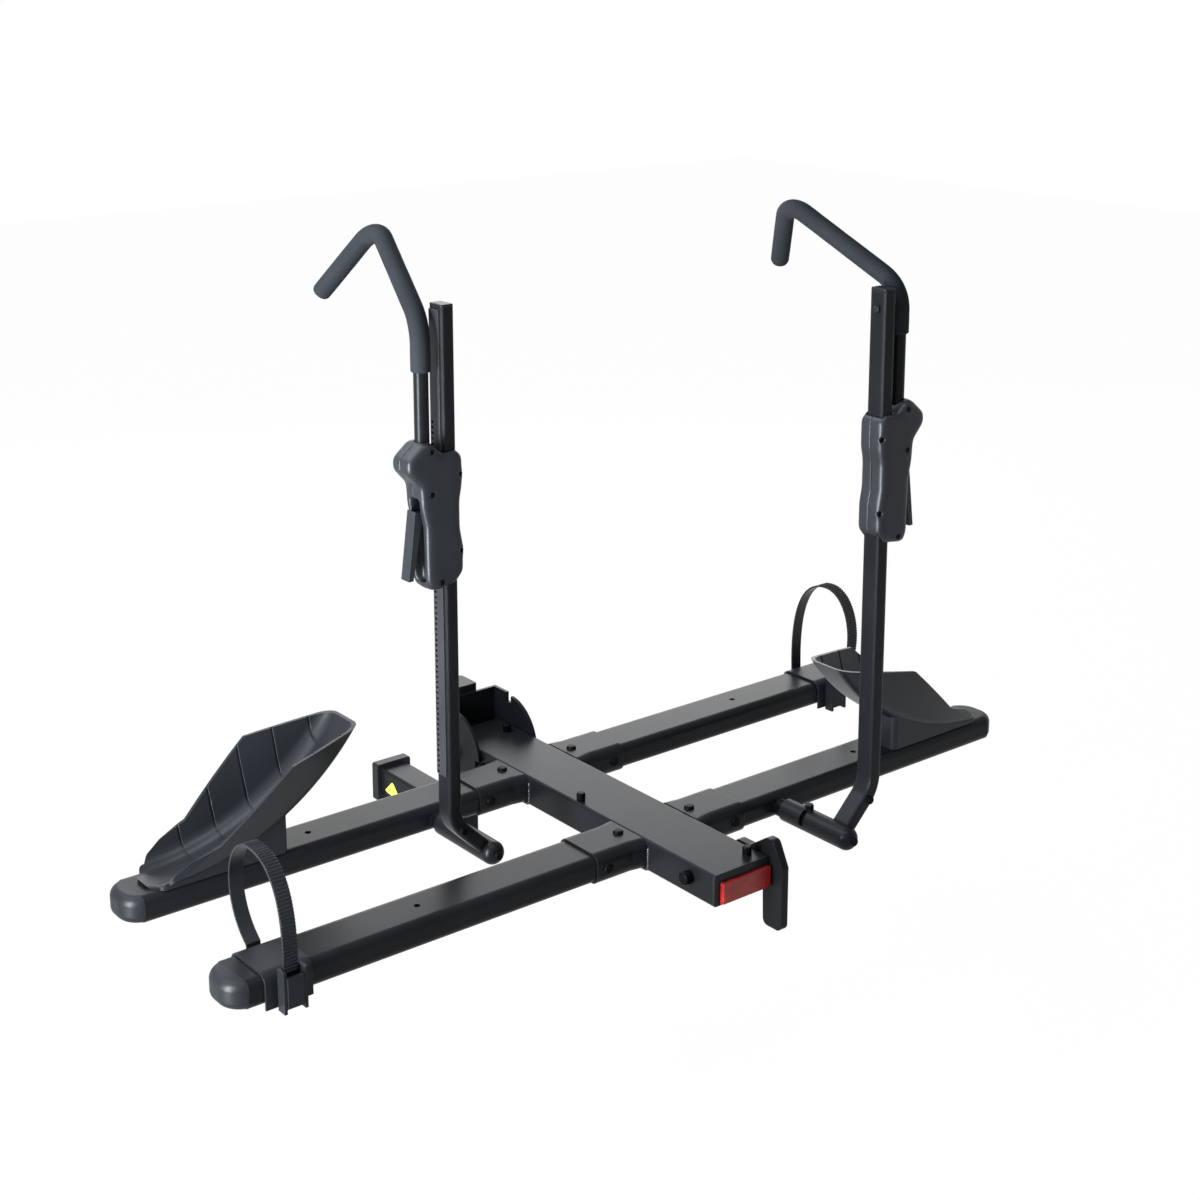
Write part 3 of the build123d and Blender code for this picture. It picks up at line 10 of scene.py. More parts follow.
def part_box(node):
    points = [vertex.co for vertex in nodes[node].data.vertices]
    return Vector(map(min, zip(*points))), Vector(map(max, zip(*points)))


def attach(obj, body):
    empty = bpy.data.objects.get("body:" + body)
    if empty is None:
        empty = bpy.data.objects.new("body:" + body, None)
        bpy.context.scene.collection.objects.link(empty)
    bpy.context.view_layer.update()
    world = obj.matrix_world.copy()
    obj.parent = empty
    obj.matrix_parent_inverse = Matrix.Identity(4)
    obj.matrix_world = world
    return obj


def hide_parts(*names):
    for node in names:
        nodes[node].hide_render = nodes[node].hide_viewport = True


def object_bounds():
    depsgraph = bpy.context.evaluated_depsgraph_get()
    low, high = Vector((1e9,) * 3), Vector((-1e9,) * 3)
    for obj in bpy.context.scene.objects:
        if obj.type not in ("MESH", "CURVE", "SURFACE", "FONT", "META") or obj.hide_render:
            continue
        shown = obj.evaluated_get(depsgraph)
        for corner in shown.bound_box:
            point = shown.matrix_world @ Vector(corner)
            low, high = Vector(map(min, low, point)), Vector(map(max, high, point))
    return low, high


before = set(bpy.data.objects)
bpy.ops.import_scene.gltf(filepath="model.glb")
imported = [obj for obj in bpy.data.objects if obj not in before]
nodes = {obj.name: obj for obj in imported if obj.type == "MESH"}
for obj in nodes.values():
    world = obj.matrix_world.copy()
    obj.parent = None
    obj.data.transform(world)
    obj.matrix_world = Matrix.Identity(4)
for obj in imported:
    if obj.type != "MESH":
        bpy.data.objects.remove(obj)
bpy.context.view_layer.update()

# The place where the rack is shown: it hangs from its shank over a plain white floor, in
# soft studio light that comes mostly from above and from the left. The camera stands near
# the left rear corner and looks down a little.
CAMERA_PLACE = (-1.7002, -2.6228, 1.3982)
CAMERA_TURN = (77.56, 0.0, -38.58)
CAMERA_LENS = 59.62
CAMERA_SENSOR = 36.0
CAMERA_SHIFT = -0.1845
WHITE = (1, 1, 1, 1)
FLOOR_DROP = 0.25
FLOOR_REACH = 9.0
FLOOR_TONE = (0.86, 0.86, 0.86, 1)
FLOOR_ROUGHNESS = 0.9
FLOOR_GLOW_SHARE = 0.98
ROOM_LIGHT = 0.12

camera_data = bpy.data.cameras.new("camera")
camera_data.lens = CAMERA_LENS
camera_data.sensor_width = CAMERA_SENSOR
camera_data.shift_y = CAMERA_SHIFT
camera = bpy.data.objects.new("camera", camera_data)
camera.location = CAMERA_PLACE
camera.rotation_euler = [math.radians(angle) for angle in CAMERA_TURN]
bpy.context.scene.collection.objects.link(camera)
bpy.context.scene.camera = camera
bpy.context.scene.view_settings.view_transform = "Standard"


def new_material(name):
    """Material with its node tree and its main shader."""
    material = bpy.data.materials.new(name)
    material.use_nodes = True
    tree = material.node_tree
    return material, tree, tree.nodes["Principled BSDF"]


def combined(tree, operation, first, second):
    """Arithmetic on two outputs, or on an output and a plain number."""
    result = tree.nodes.new("ShaderNodeMath")
    result.operation = operation
    tree.links.new(first, result.inputs[0])
    if isinstance(second, float):
        result.inputs[1].default_value = second
    else:
        tree.links.new(second, result.inputs[1])
    return result.outputs[0]


def seen_share(tree, share):
    """Share of a plain white that only the camera, gloss and glass see."""
    path = tree.nodes.new("ShaderNodeLightPath")
    seen = combined(tree, "MAXIMUM", path.outputs["Is Camera Ray"], path.outputs["Is Glossy Ray"])
    seen = combined(tree, "MAXIMUM", seen, path.outputs["Is Transmission Ray"])
    return combined(tree, "MULTIPLY", seen, share)


def mixed(tree, share, first, second, goal):
    """Blend of two shaders, linked to the tree's output."""
    mix = tree.nodes.new("ShaderNodeMixShader")
    tree.links.new(share, mix.inputs[0])
    tree.links.new(first.outputs[0], mix.inputs[1])
    tree.links.new(second.outputs[0], mix.inputs[2])
    tree.links.new(mix.outputs[0], tree.nodes[goal].inputs["Surface"])


def white_floor():
    """Matt floor that looks white and keeps a faint shadow."""
    mesh = bpy.data.meshes.new("floor")
    reach = FLOOR_REACH
    corners = [(-reach, -reach, 0), (reach, -reach, 0), (reach, reach, 0), (-reach, reach, 0)]
    mesh.from_pydata(corners, [], [(0, 1, 2, 3)])
    floor = bpy.data.objects.new("floor", mesh)
    floor.location = (0, 0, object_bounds()[0].z - FLOOR_DROP)
    bpy.context.scene.collection.objects.link(floor)
    material, tree, shader = new_material("floor_white")
    shader.inputs["Base Color"].default_value = FLOOR_TONE
    shader.inputs["Roughness"].default_value = FLOOR_ROUGHNESS
    glow = tree.nodes.new("ShaderNodeEmission")
    glow.inputs["Color"].default_value = WHITE
    mixed(tree, seen_share(tree, FLOOR_GLOW_SHARE), shader, glow, "Material Output")
    mesh.materials.append(material)


def white_room():
    """Dim even light all round, seen as white by the camera and in reflections."""
    world = bpy.data.worlds.new("studio")
    bpy.context.scene.world = world
    world.use_nodes = True
    tree = world.node_tree
    dim = tree.nodes["Background"]
    white = tree.nodes.new("ShaderNodeBackground")
    for background, strength in ((dim, ROOM_LIGHT), (white, 1.0)):
        background.inputs["Color"].default_value = WHITE
        background.inputs["Strength"].default_value = strength
    mixed(tree, seen_share(tree, 1.0), dim, white, "World Output")


def soft_box(name, place, aim, size, power, gloss_only=False):
    """Flat studio light that faces a point; some only draw a line of gloss."""
    light = bpy.data.lights.new(name, "AREA")
    light.shape = "RECTANGLE"
    light.size, light.size_y = size
    light.energy = power
    lamp = bpy.data.objects.new(name, light)
    lamp.location = place
    lamp.rotation_euler = (Vector(aim) - Vector(place)).to_track_quat("-Z", "Y").to_euler()
    lamp.visible_camera = False
    lamp.visible_diffuse = not gloss_only
    bpy.context.scene.collection.objects.link(lamp)


white_floor()
white_room()
soft_box("light_above", place=(-1.4, 0.7, 3.2), aim=(-0.1, -0.4, 0.2), size=(3.2, 2.4), power=150)
soft_box("light_left", place=(-2.0, -0.75, 0.6), aim=(0, -0.5, 0.45), size=(0.35, 1.5), power=100)
soft_box("light_behind", place=(2.1, 3.0, 1.5), aim=(0, -0.4, 0.2), size=(3.6, 1.8), power=76)
soft_box("gloss_left", place=(-2.0, -0.75, 0.3), aim=(0, -0.5, 0.45), size=(0.2, 1.8), power=150,
         gloss_only=True)
soft_box("gloss_above", place=(-0.4, -1.4, 3.0), aim=(-0.4, -0.4, 0.25), size=(1.0, 1.0), power=30,
         gloss_only=True)
soft_box("light_front", place=(-2.2, -3.4, 2.1), aim=(0, -0.5, 0.3), size=(0.5, 0.5), power=10)

# Hitch shank: a square steel tube that slides into the receiver, with a moulded cap. It is
# welded to the post and powder coated black after welding: a fine satin grain over the
# sprayed coat.
COAT = {"tone": (0.0062, 0.0070, 0.0085), "roughness": 0.33, "grain": 900.0, "depth": 0.00007}
COAT_IOR = 1.18
COOL_GLOSS = (0.86, 0.94, 1.0, 1)
DRIFT_SCALE = 7.0
DRIFT_DETAIL = 5.0
DRIFT_STOPS = ((0.3, 0.8), (0.72, 1.25))
GRAIN_DETAIL = 3.0
GRAIN_STRENGTH = 0.35
GLOSS_DOWN = 0.05
GLOSS_UP = 0.07
EDGE_ROUND = 0.0007
EDGE_SAMPLES = 4
# Painted highlight: the edge tone and the two turn limits lighten the colour along edges.
EDGE_HIGHLIGHT_TONE = 2.6
EDGE_TURN_LEAST = 0.995
EDGE_TURN_FULL = 0.86
MOULD_GRAIN = 1500.0
MOULD_DEPTH = 0.0001


def noise(tree, place, scale, detail):
    """Cloudy noise that stays with the piece."""
    cloud = tree.nodes.new("ShaderNodeTexNoise")
    cloud.inputs["Scale"].default_value = scale
    cloud.inputs["Detail"].default_value = detail
    tree.links.new(place, cloud.inputs["Vector"])
    return cloud.outputs["Fac"]


def two_tone(tree, value, stops):
    """Colour that runs between two stops, each a position and a tone."""
    ramp = tree.nodes.new("ShaderNodeValToRGB")
    for index, (position, tone) in enumerate(stops):
        ramp.color_ramp.elements[index].position = position
        ramp.color_ramp.elements[index].color = [*tone, 1]
    tree.links.new(value, ramp.inputs["Fac"])
    return ramp.outputs["Color"]


def uneven_gloss(tree, value, least, most, shader):
    """Roughness that runs between two limits."""
    limits = tree.nodes.new("ShaderNodeMapRange")
    limits.inputs["To Min"].default_value = least
    limits.inputs["To Max"].default_value = most
    tree.links.new(value, limits.inputs["Value"])
    tree.links.new(limits.outputs["Result"], shader.inputs["Roughness"])


def relief(tree, height, strength, depth, shader):
    """Fine relief on a shader's surface."""
    bump = tree.nodes.new("ShaderNodeBump")
    bump.inputs["Strength"].default_value = strength
    bump.inputs["Distance"].default_value = depth
    tree.links.new(height, bump.inputs["Height"])
    tree.links.new(bump.outputs["Normal"], shader.inputs["Normal"])
    return bump


def black_finish(name, tone, roughness, grain, depth, ior=COAT_IOR, edge_highlight_tone=EDGE_HIGHLIGHT_TONE,
                 edge_round=EDGE_ROUND):
    """Black surface with grain, slow drifts of tone and gloss, and a painted highlight that lightens
    its edges.
    """
    material, tree, shader = new_material(name)
    add, link = tree.nodes.new, tree.links.new
    shader.inputs["IOR"].default_value = ior
    shader.inputs["Specular Tint"].default_value = COOL_GLOSS
    place = add("ShaderNodeTexCoord").outputs["Object"]
    drift = noise(tree, place, DRIFT_SCALE, DRIFT_DETAIL)
    shade = two_tone(tree, drift, [(stop, [c * share for c in tone]) for stop, share in DRIFT_STOPS])
    round_edge = add("ShaderNodeBevel")
    round_edge.samples = EDGE_SAMPLES
    round_edge.inputs["Radius"].default_value = edge_round
    flat = add("ShaderNodeNewGeometry")
    turn = add("ShaderNodeVectorMath")
    turn.operation = "DOT_PRODUCT"
    link(round_edge.outputs["Normal"], turn.inputs[0])
    link(flat.outputs["Normal"], turn.inputs[1])
    # Painted highlight: the more the rounded normal turns from the flat one, the lighter the colour at
    # that edge.
    edge_highlight_mask = add("ShaderNodeMapRange")
    edge_highlight_mask.inputs["From Min"].default_value = EDGE_TURN_LEAST
    edge_highlight_mask.inputs["From Max"].default_value = EDGE_TURN_FULL
    link(turn.outputs["Value"], edge_highlight_mask.inputs["Value"])
    edge_highlighted = add("ShaderNodeMix")
    edge_highlighted.data_type = "RGBA"
    edge_highlighted.inputs["B"].default_value = [c * edge_highlight_tone for c in tone] + [1]
    link(edge_highlight_mask.outputs["Result"], edge_highlighted.inputs["Factor"])
    link(shade, edge_highlighted.inputs["A"])
    link(edge_highlighted.outputs["Result"], shader.inputs["Base Color"])
    speck = noise(tree, place, grain, GRAIN_DETAIL)
    uneven_gloss(tree, speck, roughness - GLOSS_DOWN, roughness + GLOSS_UP, shader)
    bump = relief(tree, speck, GRAIN_STRENGTH, depth, shader)
    link(round_edge.outputs["Normal"], bump.inputs["Normal"])
    return material


def dress(material, *names):
    """Give nodes a finish; a name may stand for its copies at each side and tray."""
    for node, part in nodes.items():
        if any(node == name or node.startswith(name + "_") for name in names):
            part.data.materials.clear()
            part.data.materials.append(material)


powder_coat = black_finish("powder_coat", **COAT)
moulded_black = black_finish("moulded_black", tone=(0.0085, 0.0098, 0.012), roughness=0.40,
                             grain=MOULD_GRAIN, depth=MOULD_DEPTH, ior=1.22)
dress(powder_coat, "shank_tube")
dress(moulded_black, "shank_end_cap")

# Bare patch on the left face of the shank: a thin yellow vinyl film with round corners,
# stuck on by hand, with one edge that has lifted a little.
FILM_CORNERS = ((0.038, 0.012), (0.061, -0.010), (0.008, -0.018))
FILM_THICKNESS = 0.0003
FILM_LIFT = 0.0006
FILM_LIFT_REACH = 0.03
FILM_ROUND = 0.12
FILM_STEPS = 8
FILM_RINGS = ((0.5, 0.0), (0.94, 0.0), (1.0, -0.4), (1.0, -1.0))
FILM_BLOTCH_SCALE = 120.0
FILM_BLOTCH_DETAIL = 6.0
FILM_STOPS = ((0.0, (0.72, 0.62, 0.03)), (1.0, (0.92, 0.86, 0.10)))
FILM_SHEEN = (0.3, 0.45)


def finished_mesh(name, form):
    """Mesh of a finished form, with its faces turned outward."""
    bmesh.ops.recalc_face_normals(form, faces=form.faces)
    mesh = bpy.data.meshes.new(name)
    form.to_mesh(mesh)
    form.free()
    return mesh


def new_piece(name, mesh, material, body):
    """Put a mesh into the scene as a piece of the rack that rides on a body."""
    mesh.materials.clear()
    mesh.materials.append(material)
    mesh.shade_smooth()
    piece = bpy.data.objects.new(name, mesh)
    bpy.context.scene.collection.objects.link(piece)
    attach(piece, body)
    return piece


def film_edge():
    """Outline of the film in the shank's Y and Z, with each corner rounded."""
    edge = []
    for index, corner in enumerate(FILM_CORNERS):
        here = Vector(corner)
        before = here.lerp(Vector(FILM_CORNERS[index - 1]), FILM_ROUND)
        after = here.lerp(Vector(FILM_CORNERS[(index + 1) % len(FILM_CORNERS)]), FILM_ROUND)
        for step in range(FILM_STEPS + 1):
            t = step / FILM_STEPS
            edge.append(before.lerp(here, t).lerp(here.lerp(after, t), t))
    return edge


def film_mesh():
    """Film as a thin sheet: a middle point, rings out to its outline and a turned-down edge."""
    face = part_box("shank_tube")[0].x
    edge = film_edge()
    middle = sum(edge, Vector((0, 0))) / len(edge)
    sheet = bmesh.new()
    rings = []
    for share, rise in FILM_RINGS:
        ring = []
        for point in edge:
            place = middle.lerp(point, share)
            lift = FILM_LIFT * max(0.0, (place.x - middle.x) / FILM_LIFT_REACH) ** 2
            ring.append(sheet.verts.new((face - FILM_THICKNESS * (1 + rise) - lift, place.x, place.y)))
        rings.append(ring)
    crown = sheet.verts.new((face - FILM_THICKNESS, middle.x, middle.y))
    for k in range(len(edge)):
        n = (k + 1) % len(edge)
        sheet.faces.new((crown, rings[0][k], rings[0][n]))
        for inner, outer in zip(rings, rings[1:]):
            sheet.faces.new((inner[k], outer[k], outer[n], inner[n]))
    return finished_mesh("yellow_patch", sheet)


def yellow_film():
    """Film with a soft gloss and faint blotches where it has aged."""
    material, tree, shader = new_material("yellow_film")
    place = tree.nodes.new("ShaderNodeTexCoord").outputs["Object"]
    blotch = noise(tree, place, FILM_BLOTCH_SCALE, FILM_BLOTCH_DETAIL)
    tree.links.new(two_tone(tree, blotch, FILM_STOPS), shader.inputs["Base Color"])
    uneven_gloss(tree, blotch, *FILM_SHEEN, shader)
    return material


new_piece("yellow_patch", film_mesh(), yellow_film(), "hitch_mount")

# Post and tilt bracket: upright steel tube with a welded lid, and a folded steel bracket
# that the beam turns in. The seams are welded by hand, so each bead has ripples.
BEAD_RADIUS = 0.0022
BEAD_RIPPLE = 0.0034
BEAD_RIPPLE_DEPTH = 0.18
BEAD_END = 0.35
BEAD_SIDES = 10
BEAD_STEP = 0.0009
SHANK_SEAM_SINK = 0.0008
BRACKET_SEAM_SINK = 0.01


def spread_line(corners, step):
    """Evenly spaced points along straight runs between corners."""
    line = []
    for start, end in zip(corners, corners[1:]):
        start, end = Vector(start), Vector(end)
        count = max(1, round((end - start).length / step))
        line += [start.lerp(end, index / count) for index in range(count)]
    return line + [Vector(corners[-1])]


def tube_mesh(name, line, radii, sides):
    """Closed tube round a line, turned as little as possible from one ring to the next."""
    tube = bmesh.new()
    rings = []
    side = (line[1] - line[0]).normalized().orthogonal().normalized()
    for index, (point, radius) in enumerate(zip(line, radii)):
        after = line[min(index + 1, len(line) - 1)]
        before = line[max(index - 1, 0)]
        run = (after - before).normalized()
        side = (side - run * side.dot(run)).normalized()
        third = run.cross(side)
        ring = []
        for turn in range(sides):
            angle = 2 * math.pi * turn / sides
            out = side * math.cos(angle) + third * math.sin(angle)
            ring.append(tube.verts.new(point + out * radius))
        rings.append(ring)
    for first, second in zip(rings, rings[1:]):
        for k in range(sides):
            n = (k + 1) % sides
            tube.faces.new((first[k], second[k], second[n], first[n]))
    tube.faces.new(rings[0])
    tube.faces.new(rings[-1])
    return finished_mesh(name, tube)


def weld_bead(name, corners, body, radius=BEAD_RADIUS):
    """Rippled bead along a seam, thinner at its ends."""
    line = spread_line(corners, BEAD_STEP)
    radii = []
    for index in range(len(line)):
        phase = index * BEAD_STEP / BEAD_RIPPLE
        ripple = BEAD_RIPPLE_DEPTH * abs(math.sin(math.pi * phase))
        end = min(index, len(line) - 1 - index) * BEAD_STEP
        radii.append(radius * (1 - ripple) * min(1.0, BEAD_END + end / radius * (1 - BEAD_END)))
    new_piece(name, tube_mesh(name, line, radii, BEAD_SIDES), weld_paint, body)


weld_paint = black_finish("weld_paint", tone=(0.016, 0.0175, 0.020), roughness=0.28,
                          grain=700.0, depth=0.0002, ior=1.45)
dress(powder_coat, "post", "tilt_bracket")
post_low, post_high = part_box("post")
shank_low, shank_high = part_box("shank_tube")
bracket_low, bracket_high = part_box("tilt_bracket")
for side, name in ((post_low.x, "left"), (post_high.x, "right")):
    seam = [(side, shank_low.y, shank_low.z + SHANK_SEAM_SINK),
            (side, shank_low.y, shank_high.z - SHANK_SEAM_SINK)]
    weld_bead("shank_weld_" + name, seam, "hitch_mount")
    seam = [(side, post_low.y, bracket_low.z + BRACKET_SEAM_SINK),
            (side, post_low.y, bracket_high.z - BRACKET_SEAM_SINK)]
    weld_bead("bracket_weld_" + name, seam, "hitch_mount")
seam = [(post_low.x, shank_low.y, shank_high.z), (post_high.x, shank_low.y, shank_high.z)]
weld_bead("shank_weld_top", seam, "hitch_mount")

# Pivot bolt, and all other bolts, studs and pins: steel with a black oxide skin, with a strong
# painted highlight that makes its edges bright.
black_oxide = black_finish("black_oxide", tone=(0.0025, 0.0028, 0.0035), roughness=0.3,
                           grain=600.0, depth=0.00005, ior=1.1, edge_highlight_tone=30.0)
dress(black_oxide, "tilt_pivot_bolt")

# Main beam: rectangular steel tube with threaded inserts and three studs in its top. It
# is closed by a moulded plug that holds an acrylic reflector.
PRISM_SCALE = 330.0
PRISM_SCATTER = 0.15
PRISM_STRENGTH = 0.5
PRISM_DEPTH = 0.0008
PRISM_ROUGHNESS = 0.22
PRISM_IOR = 1.35
PRISM_STOPS = ((0.0, (0.085, 0.003, 0.003)), (0.35, (0.34, 0.016, 0.013)))
HAZE_SCALE = 45.0
HAZE_DETAIL = 2.0


def red_prisms():
    """Clear red acrylic over rows of small prisms."""
    material, tree, shader = new_material("red_prisms")
    add, link = tree.nodes.new, tree.links.new
    place = add("ShaderNodeTexCoord").outputs["Object"]
    cells = add("ShaderNodeTexVoronoi")
    cells.inputs["Scale"].default_value = PRISM_SCALE
    cells.inputs["Randomness"].default_value = PRISM_SCATTER
    link(place, cells.inputs["Vector"])
    haze = noise(tree, place, HAZE_SCALE, HAZE_DETAIL)
    blend = combined(tree, "MULTIPLY", cells.outputs["Distance"], haze)
    link(two_tone(tree, blend, PRISM_STOPS), shader.inputs["Base Color"])
    shader.inputs["Roughness"].default_value = PRISM_ROUGHNESS
    shader.inputs["IOR"].default_value = PRISM_IOR
    relief(tree, cells.outputs["Distance"], PRISM_STRENGTH, PRISM_DEPTH, shader)
    return material


dress(powder_coat, "main_beam")
dress(black_oxide, "beam_studs", "beam_inserts")
dress(moulded_black, "beam_end_cap")
dress(red_prisms(), "rear_reflector")

# Tilt handle: moulded lever on a steel shaft that pulls the lock rod inside the beam.
# Shaft and rod are turned steel with the same oxide skin as the bolts.
# The lever's edges carry a painted highlight.
lever_black = black_finish("lever_black", tone=(0.0035, 0.004, 0.005), roughness=0.36,
                           grain=MOULD_GRAIN, depth=MOULD_DEPTH, edge_highlight_tone=4.0)
dress(lever_black, "tilt_handle")
dress(black_oxide, "handle_shaft", "lock_rod")

# Tray sockets: short steel tubes welded to the sides of the beam, flared where they meet it.
# A bead runs down both faces of each socket and under it.
SOCKET_BEAD_RADIUS = 0.0026
SOCKET_SEAM_SINK = 0.010
SOCKET_SEAM_CORNER = 0.004
dress(powder_coat, "tray_socket")
dress(black_oxide, "tray_bolts")
for node in [name for name in nodes if name.startswith("tray_socket_")]:
    low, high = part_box(node)
    seam_x = high.x if high.x < 0 else low.x
    top = high.z - SOCKET_SEAM_SINK
    foot = low.z + SOCKET_SEAM_CORNER
    seam = [(low.y, top), (low.y, foot), (low.y + SOCKET_SEAM_CORNER, low.z),
            (high.y - SOCKET_SEAM_CORNER, low.z), (high.y, foot), (high.y, top)]
    corners = [(seam_x, y, z) for y, z in seam]
    weld_bead(node.replace("tray_socket", "socket_weld"), corners, "platform", SOCKET_BEAD_RADIUS)

# Trays: rectangular steel tubes with wide round corners, powder coated like the beam. Each
# outer end is closed by a moulded bullnose plug.
dress(powder_coat, "tray_front", "tray_rear")
dress(moulded_black, "tray_cap")

# Wheel cradles: troughs moulded in one piece with their pedestals, with a smooth satin
# skin and grooves across the floor that drain water.
cradle_black = black_finish("cradle_black", tone=(0.0080, 0.0092, 0.0118), roughness=0.34,
                            grain=MOULD_GRAIN, depth=0.00008, ior=1.28)
dress(cradle_black, "wheel_cradle")

# Strap saddles, buckles and ladder straps: moulded channels that slide along the trays,
# and a flexible toothed strap that is pulled through a latch.
strap_plastic = black_finish("strap_plastic", tone=(0.0095, 0.0108, 0.013), roughness=0.32,
                             grain=1200.0, depth=MOULD_DEPTH, ior=1.28)
dress(strap_plastic, "ladder_strap")
dress(moulded_black, "strap_saddle", "buckle_base", "buckle_lever")

# Arms: a sleeve that turns on the foot shaft, with a bent rectangular upright welded to
# it, closed by a plug. A steel strip of ratchet windows is fixed to its outboard face. The
# finish shades the upright's corners wider than its solid has them.
UPRIGHT_ROUND = 0.0065
round_coat = black_finish("round_coat", **COAT, edge_highlight_tone=1.0, edge_round=UPRIGHT_ROUND)
# The rack strip's edges carry a painted highlight.
rack_coat = black_finish("rack_coat", tone=(0.020, 0.022, 0.026), roughness=0.34, grain=800.0,
                         depth=0.0001, ior=1.3, edge_highlight_tone=4.0)
dress(powder_coat, "foot_sleeve")
dress(round_coat, "upright_left", "upright_right")
dress(black_oxide, "foot_shaft", "foot_bolts")
dress(moulded_black, "upright_cap")
dress(rack_coat, "upright_rack")

# Ratchet carriages: two moulded shells screwed together round the upright, with a hood
# over the seat of the hook. Each is drawn again in soft grip plastic with its outer edges
# worked round, which also smooths away its shallow grip grooves.
SHELL_GRAIN = 0.0016
SHELL_PASSES = 44
SHELL_EASE = 0.5
SEATED_PIECES = ("carriage_pins", "upright", "upright_rack", "hook_tube")
SEAT_REACH = 0.0025
SEAT_BACKOFF = 0.0004
SEAT_CLEAR = 0.0010
SEAT_FADE = 0.0060
LEVER_FADE = 0.0160
PARTING_CLEAR = 0.0005


def surface_of(names):
    """Faces of several nodes as one surface to measure from."""
    points, faces = [], []
    for name in names:
        mesh = nodes[name].data
        first = len(points)
        points += [vertex.co.copy() for vertex in mesh.vertices]
        faces += [[first + index for index in face.vertices] for face in mesh.polygons]
    return BVHTree.FromPolygons(points, faces)


def points_of(mesh):
    """Places of a mesh's vertices, one in each row."""
    places = numpy.empty(len(mesh.vertices) * 3)
    mesh.vertices.foreach_get("co", places)
    return places.reshape(-1, 3)


def share_beyond(surface, places, fade):
    """How far each place is past a surface's clear margin, as a share of the fade."""
    distances = numpy.array([surface.find_nearest(Vector(place))[3] for place in places])
    return (distances - SEAT_CLEAR) / fade


def remeshed(solid):
    """Even, fine mesh over the surface of a solid."""
    block = bpy.data.objects.new("block", solid.copy())
    bpy.context.scene.collection.objects.link(block)
    grain = block.modifiers.new("grain", "REMESH")
    grain.mode = "VOXEL"
    grain.voxel_size = SHELL_GRAIN
    view = bpy.context.evaluated_depsgraph_get()
    mesh = bpy.data.meshes.new_from_object(block.evaluated_get(view))
    bpy.data.objects.remove(block)
    return mesh


def worked_round(mesh, free):
    """Ease each point towards its neighbours, as far as its share is free."""
    places = points_of(mesh)
    ends = numpy.empty(len(mesh.edges) * 2, dtype=numpy.int32)
    mesh.edges.foreach_get("vertices", ends)
    ends = ends.reshape(-1, 2)
    neighbours = numpy.bincount(ends.ravel(), minlength=len(places))[:, None]
    ease = SHELL_EASE * free[:, None]
    for _ in range(SHELL_PASSES):
        total = numpy.zeros_like(places)
        numpy.add.at(total, ends[:, 0], places[ends[:, 1]])
        numpy.add.at(total, ends[:, 1], places[ends[:, 0]])
        places += ease * (total / neighbours - places)
    mesh.vertices.foreach_set("co", places.ravel())
    mesh.update()


def moulded_shell(half, side):
    """Shell with its outer edges worked round, held near its seats, lever and parting face."""
    name = "carriage_" + half + "_" + side
    seats = surface_of([piece + "_" + side for piece in SEATED_PIECES])
    lever = surface_of(["release_lever_" + side])
    drawn = surface_of([name])
    low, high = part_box(name)
    parting = high.y if half == "front" else low.y
    mesh = remeshed(nodes[name].data)
    for vertex in mesh.vertices:
        vertex.co = drawn.find_nearest(vertex.co)[0]
        _, away, _, distance = seats.find_nearest(vertex.co)
        if distance < SEAT_REACH:
            vertex.co += away * SEAT_BACKOFF
    places = points_of(mesh)
    from_seats = share_beyond(seats, places, SEAT_FADE)
    from_lever = share_beyond(lever, places, LEVER_FADE)
    from_parting = (numpy.abs(places[:, 1] - parting) - PARTING_CLEAR) / SEAT_FADE
    free = numpy.minimum(numpy.minimum(from_seats, from_lever), from_parting)
    worked_round(mesh, numpy.clip(free, 0, 1))
    shell = new_piece(name + "_skin", mesh, grip_plastic, "carriage_" + side)
    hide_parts(name)


grip_plastic = black_finish("grip_plastic", tone=(0.013, 0.015, 0.019), roughness=0.38,
                            grain=MOULD_GRAIN, depth=MOULD_DEPTH, ior=1.3)
dress(grip_plastic, "release_lever")
dress(black_oxide, "carriage_pins")
for side in ("left", "right"):
    for half in ("front", "rear"):
        moulded_shell(half, side)

# Hooks: bent steel tube, powder coated, that stands in the carriage's seat. A thick sleeve
# of closed-cell foam is pushed over the bend to spare the bicycle's paint.
HOOK_SIDE = 0.303
HOOK_FROM_TRAY = 0.159
HOOK_CROWN = (-0.049, 0.176, 0.106)
HOOK_TIP = (0.052, 0.067, -0.099)
HOOK_BENDS = (0.055, 0.032)
TRAY_OF_ARM = {"left": "tray_rear_left", "right": "tray_front_right"}
FOAM_STARTS = {"left": 0.848, "right": 0.868}
FOAM_RISE = 0.065
FOAM_RADIUS = 0.0135
FOAM_SIDES = 40
FOAM_STEP = 0.003
FOAM_LIP = 0.0022
FOAM_LIP_RINGS = ((0.0, 0.72), (0.0004, 0.90), (FOAM_LIP, 1.0))
FOAM_NOSE = 0.004
FOAM_NOSE_TURNS = (20, 40, 58, 74, 86)
FOAM_NOSE_FLAT = 0.45
FOAM_NOSE_CURVE = 0.8
FOAM_WAVE = 0.0001
FOAM_WAVE_FAST = 0.31
FOAM_WAVE_SLOW = 0.13
FOAM_WAVE_START = 1.0


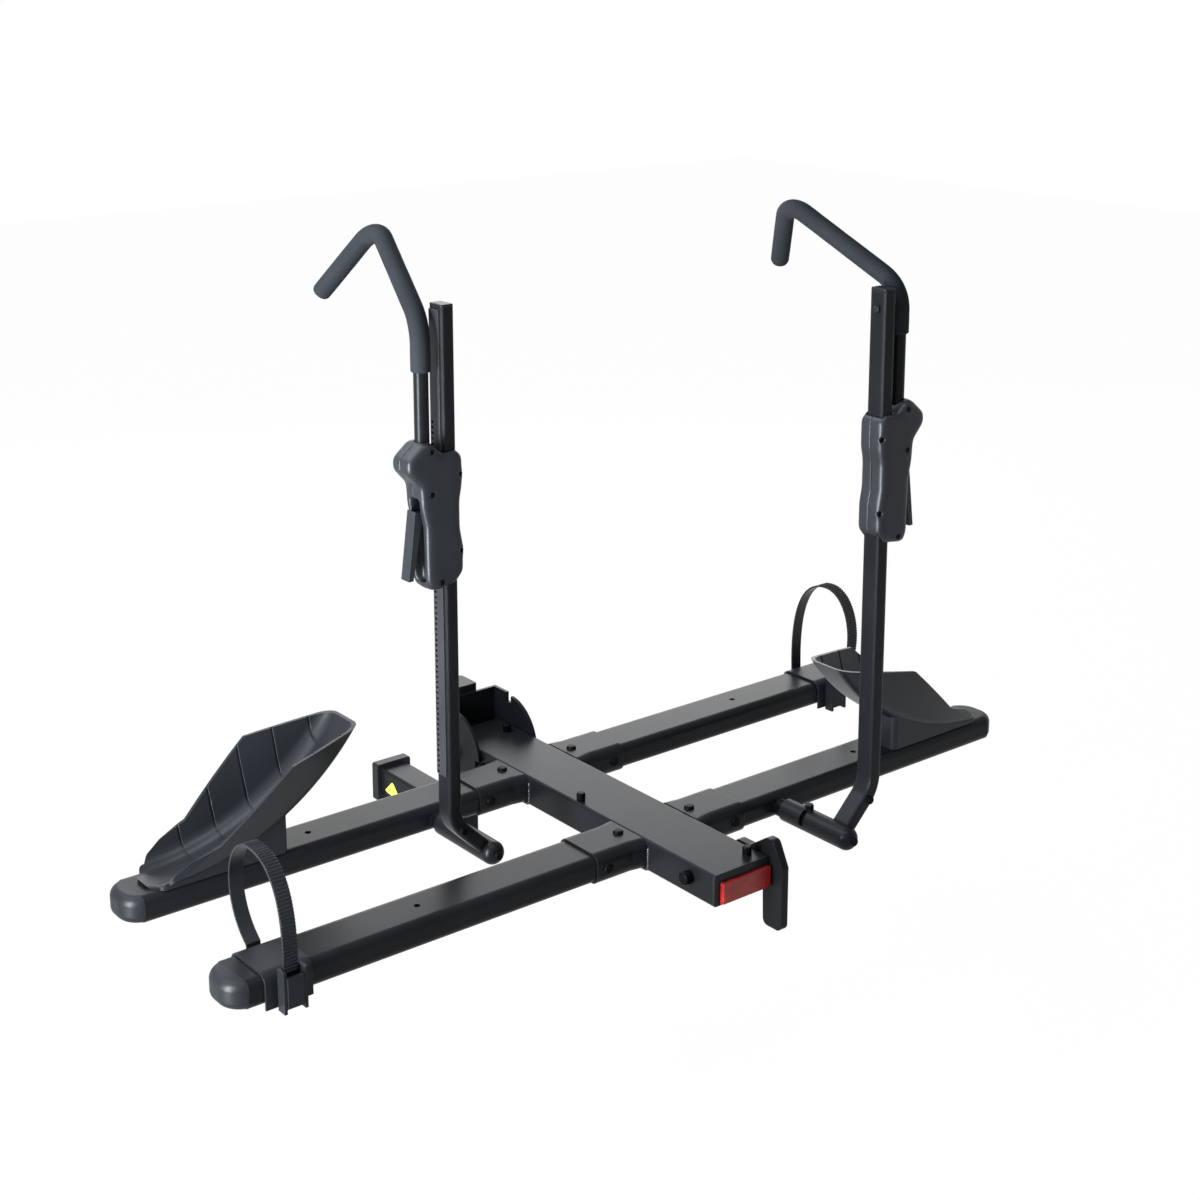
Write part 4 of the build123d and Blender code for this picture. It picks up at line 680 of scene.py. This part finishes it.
def bent_line(points, bends, step):
    """Runs joined by round bends, as evenly spaced points."""
    points = [Vector(point) for point in points]
    line = [points[0]]
    for before, corner, after, bend in zip(points, points[1:], points[2:], bends):
        first = (before - corner).normalized()
        second = (after - corner).normalized()
        half = first.angle(second) / 2
        reach = bend / math.tan(half)
        centre = corner + (first + second).normalized() * bend / math.sin(half)
        start, end = corner + first * reach, corner + second * reach
        line += spread_line([line[-1], start], step)[1:]
        arm = start - centre
        axis = arm.cross(end - centre).normalized()
        sweep = arm.angle(end - centre)
        count = round(bend * sweep / step)
        for k in range(1, count + 1):
            line.append(centre + Matrix.Rotation(sweep * k / count, 3, axis) @ arm)
    return line + spread_line([line[-1], points[-1]], step)[1:]


def foam_line(side):
    """Middle of the sleeve from its lower end, round both bends and out to its nose."""
    sign = -1 if side == "left" else 1
    low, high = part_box(TRAY_OF_ARM[side])
    start = Vector((HOOK_SIDE, (low.y + high.y) / 2 - HOOK_FROM_TRAY, FOAM_STARTS[side]))
    bend = start + Vector((0, 0, FOAM_RISE))
    crown = bend + Vector(HOOK_CROWN)
    tip = crown + Vector(HOOK_TIP)
    nose = tip + Vector(HOOK_TIP).normalized() * FOAM_NOSE
    line = bent_line([start, bend, crown, nose], HOOK_BENDS, FOAM_STEP)
    return [Vector((sign * point.x, point.y, point.z)) for point in line]


def foam_sleeve(name, side):
    """Sleeve with a round nose at the tip and a cut lip at its lower end."""
    line = foam_line(side)
    path = [line[0] + Vector((0, 0, rise)) for rise, share in FOAM_LIP_RINGS]
    radii = [FOAM_RADIUS * share for rise, share in FOAM_LIP_RINGS]
    for index, point in enumerate(line[1:]):
        if (point - path[-1]).length < FOAM_LIP or (line[-1] - point).length < FOAM_NOSE * 2:
            continue
        wave = math.sin(index * FOAM_WAVE_FAST) * math.sin(index * FOAM_WAVE_SLOW + FOAM_WAVE_START)
        path.append(point)
        radii.append(FOAM_RADIUS - FOAM_WAVE + FOAM_WAVE * wave)
    end = line[-1] - path[-1]
    run = end.normalized()
    for turn in FOAM_NOSE_TURNS:
        angle = math.radians(turn)
        path.append(line[-1] - run * end.length * (1 - math.sin(angle)))
        curve = math.cos(angle) ** FOAM_NOSE_CURVE
        radii.append(FOAM_RADIUS * (FOAM_NOSE_FLAT + (1 - FOAM_NOSE_FLAT) * curve))
    return tube_mesh(name, path, radii, FOAM_SIDES)


# The foam's edges carry a faint painted highlight.
foam_skin = black_finish("foam_skin", tone=(0.020, 0.023, 0.0285), roughness=0.75, grain=700.0,
                         depth=0.00008, ior=1.15, edge_highlight_tone=1.2)
dress(powder_coat, "hook_tube")
for side in ("left", "right"):
    name = "foam_sleeve_" + side
    sleeve = new_piece(name, foam_sleeve(name, side), foam_skin, "carriage_" + side)
    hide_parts("hook_foam_" + side)
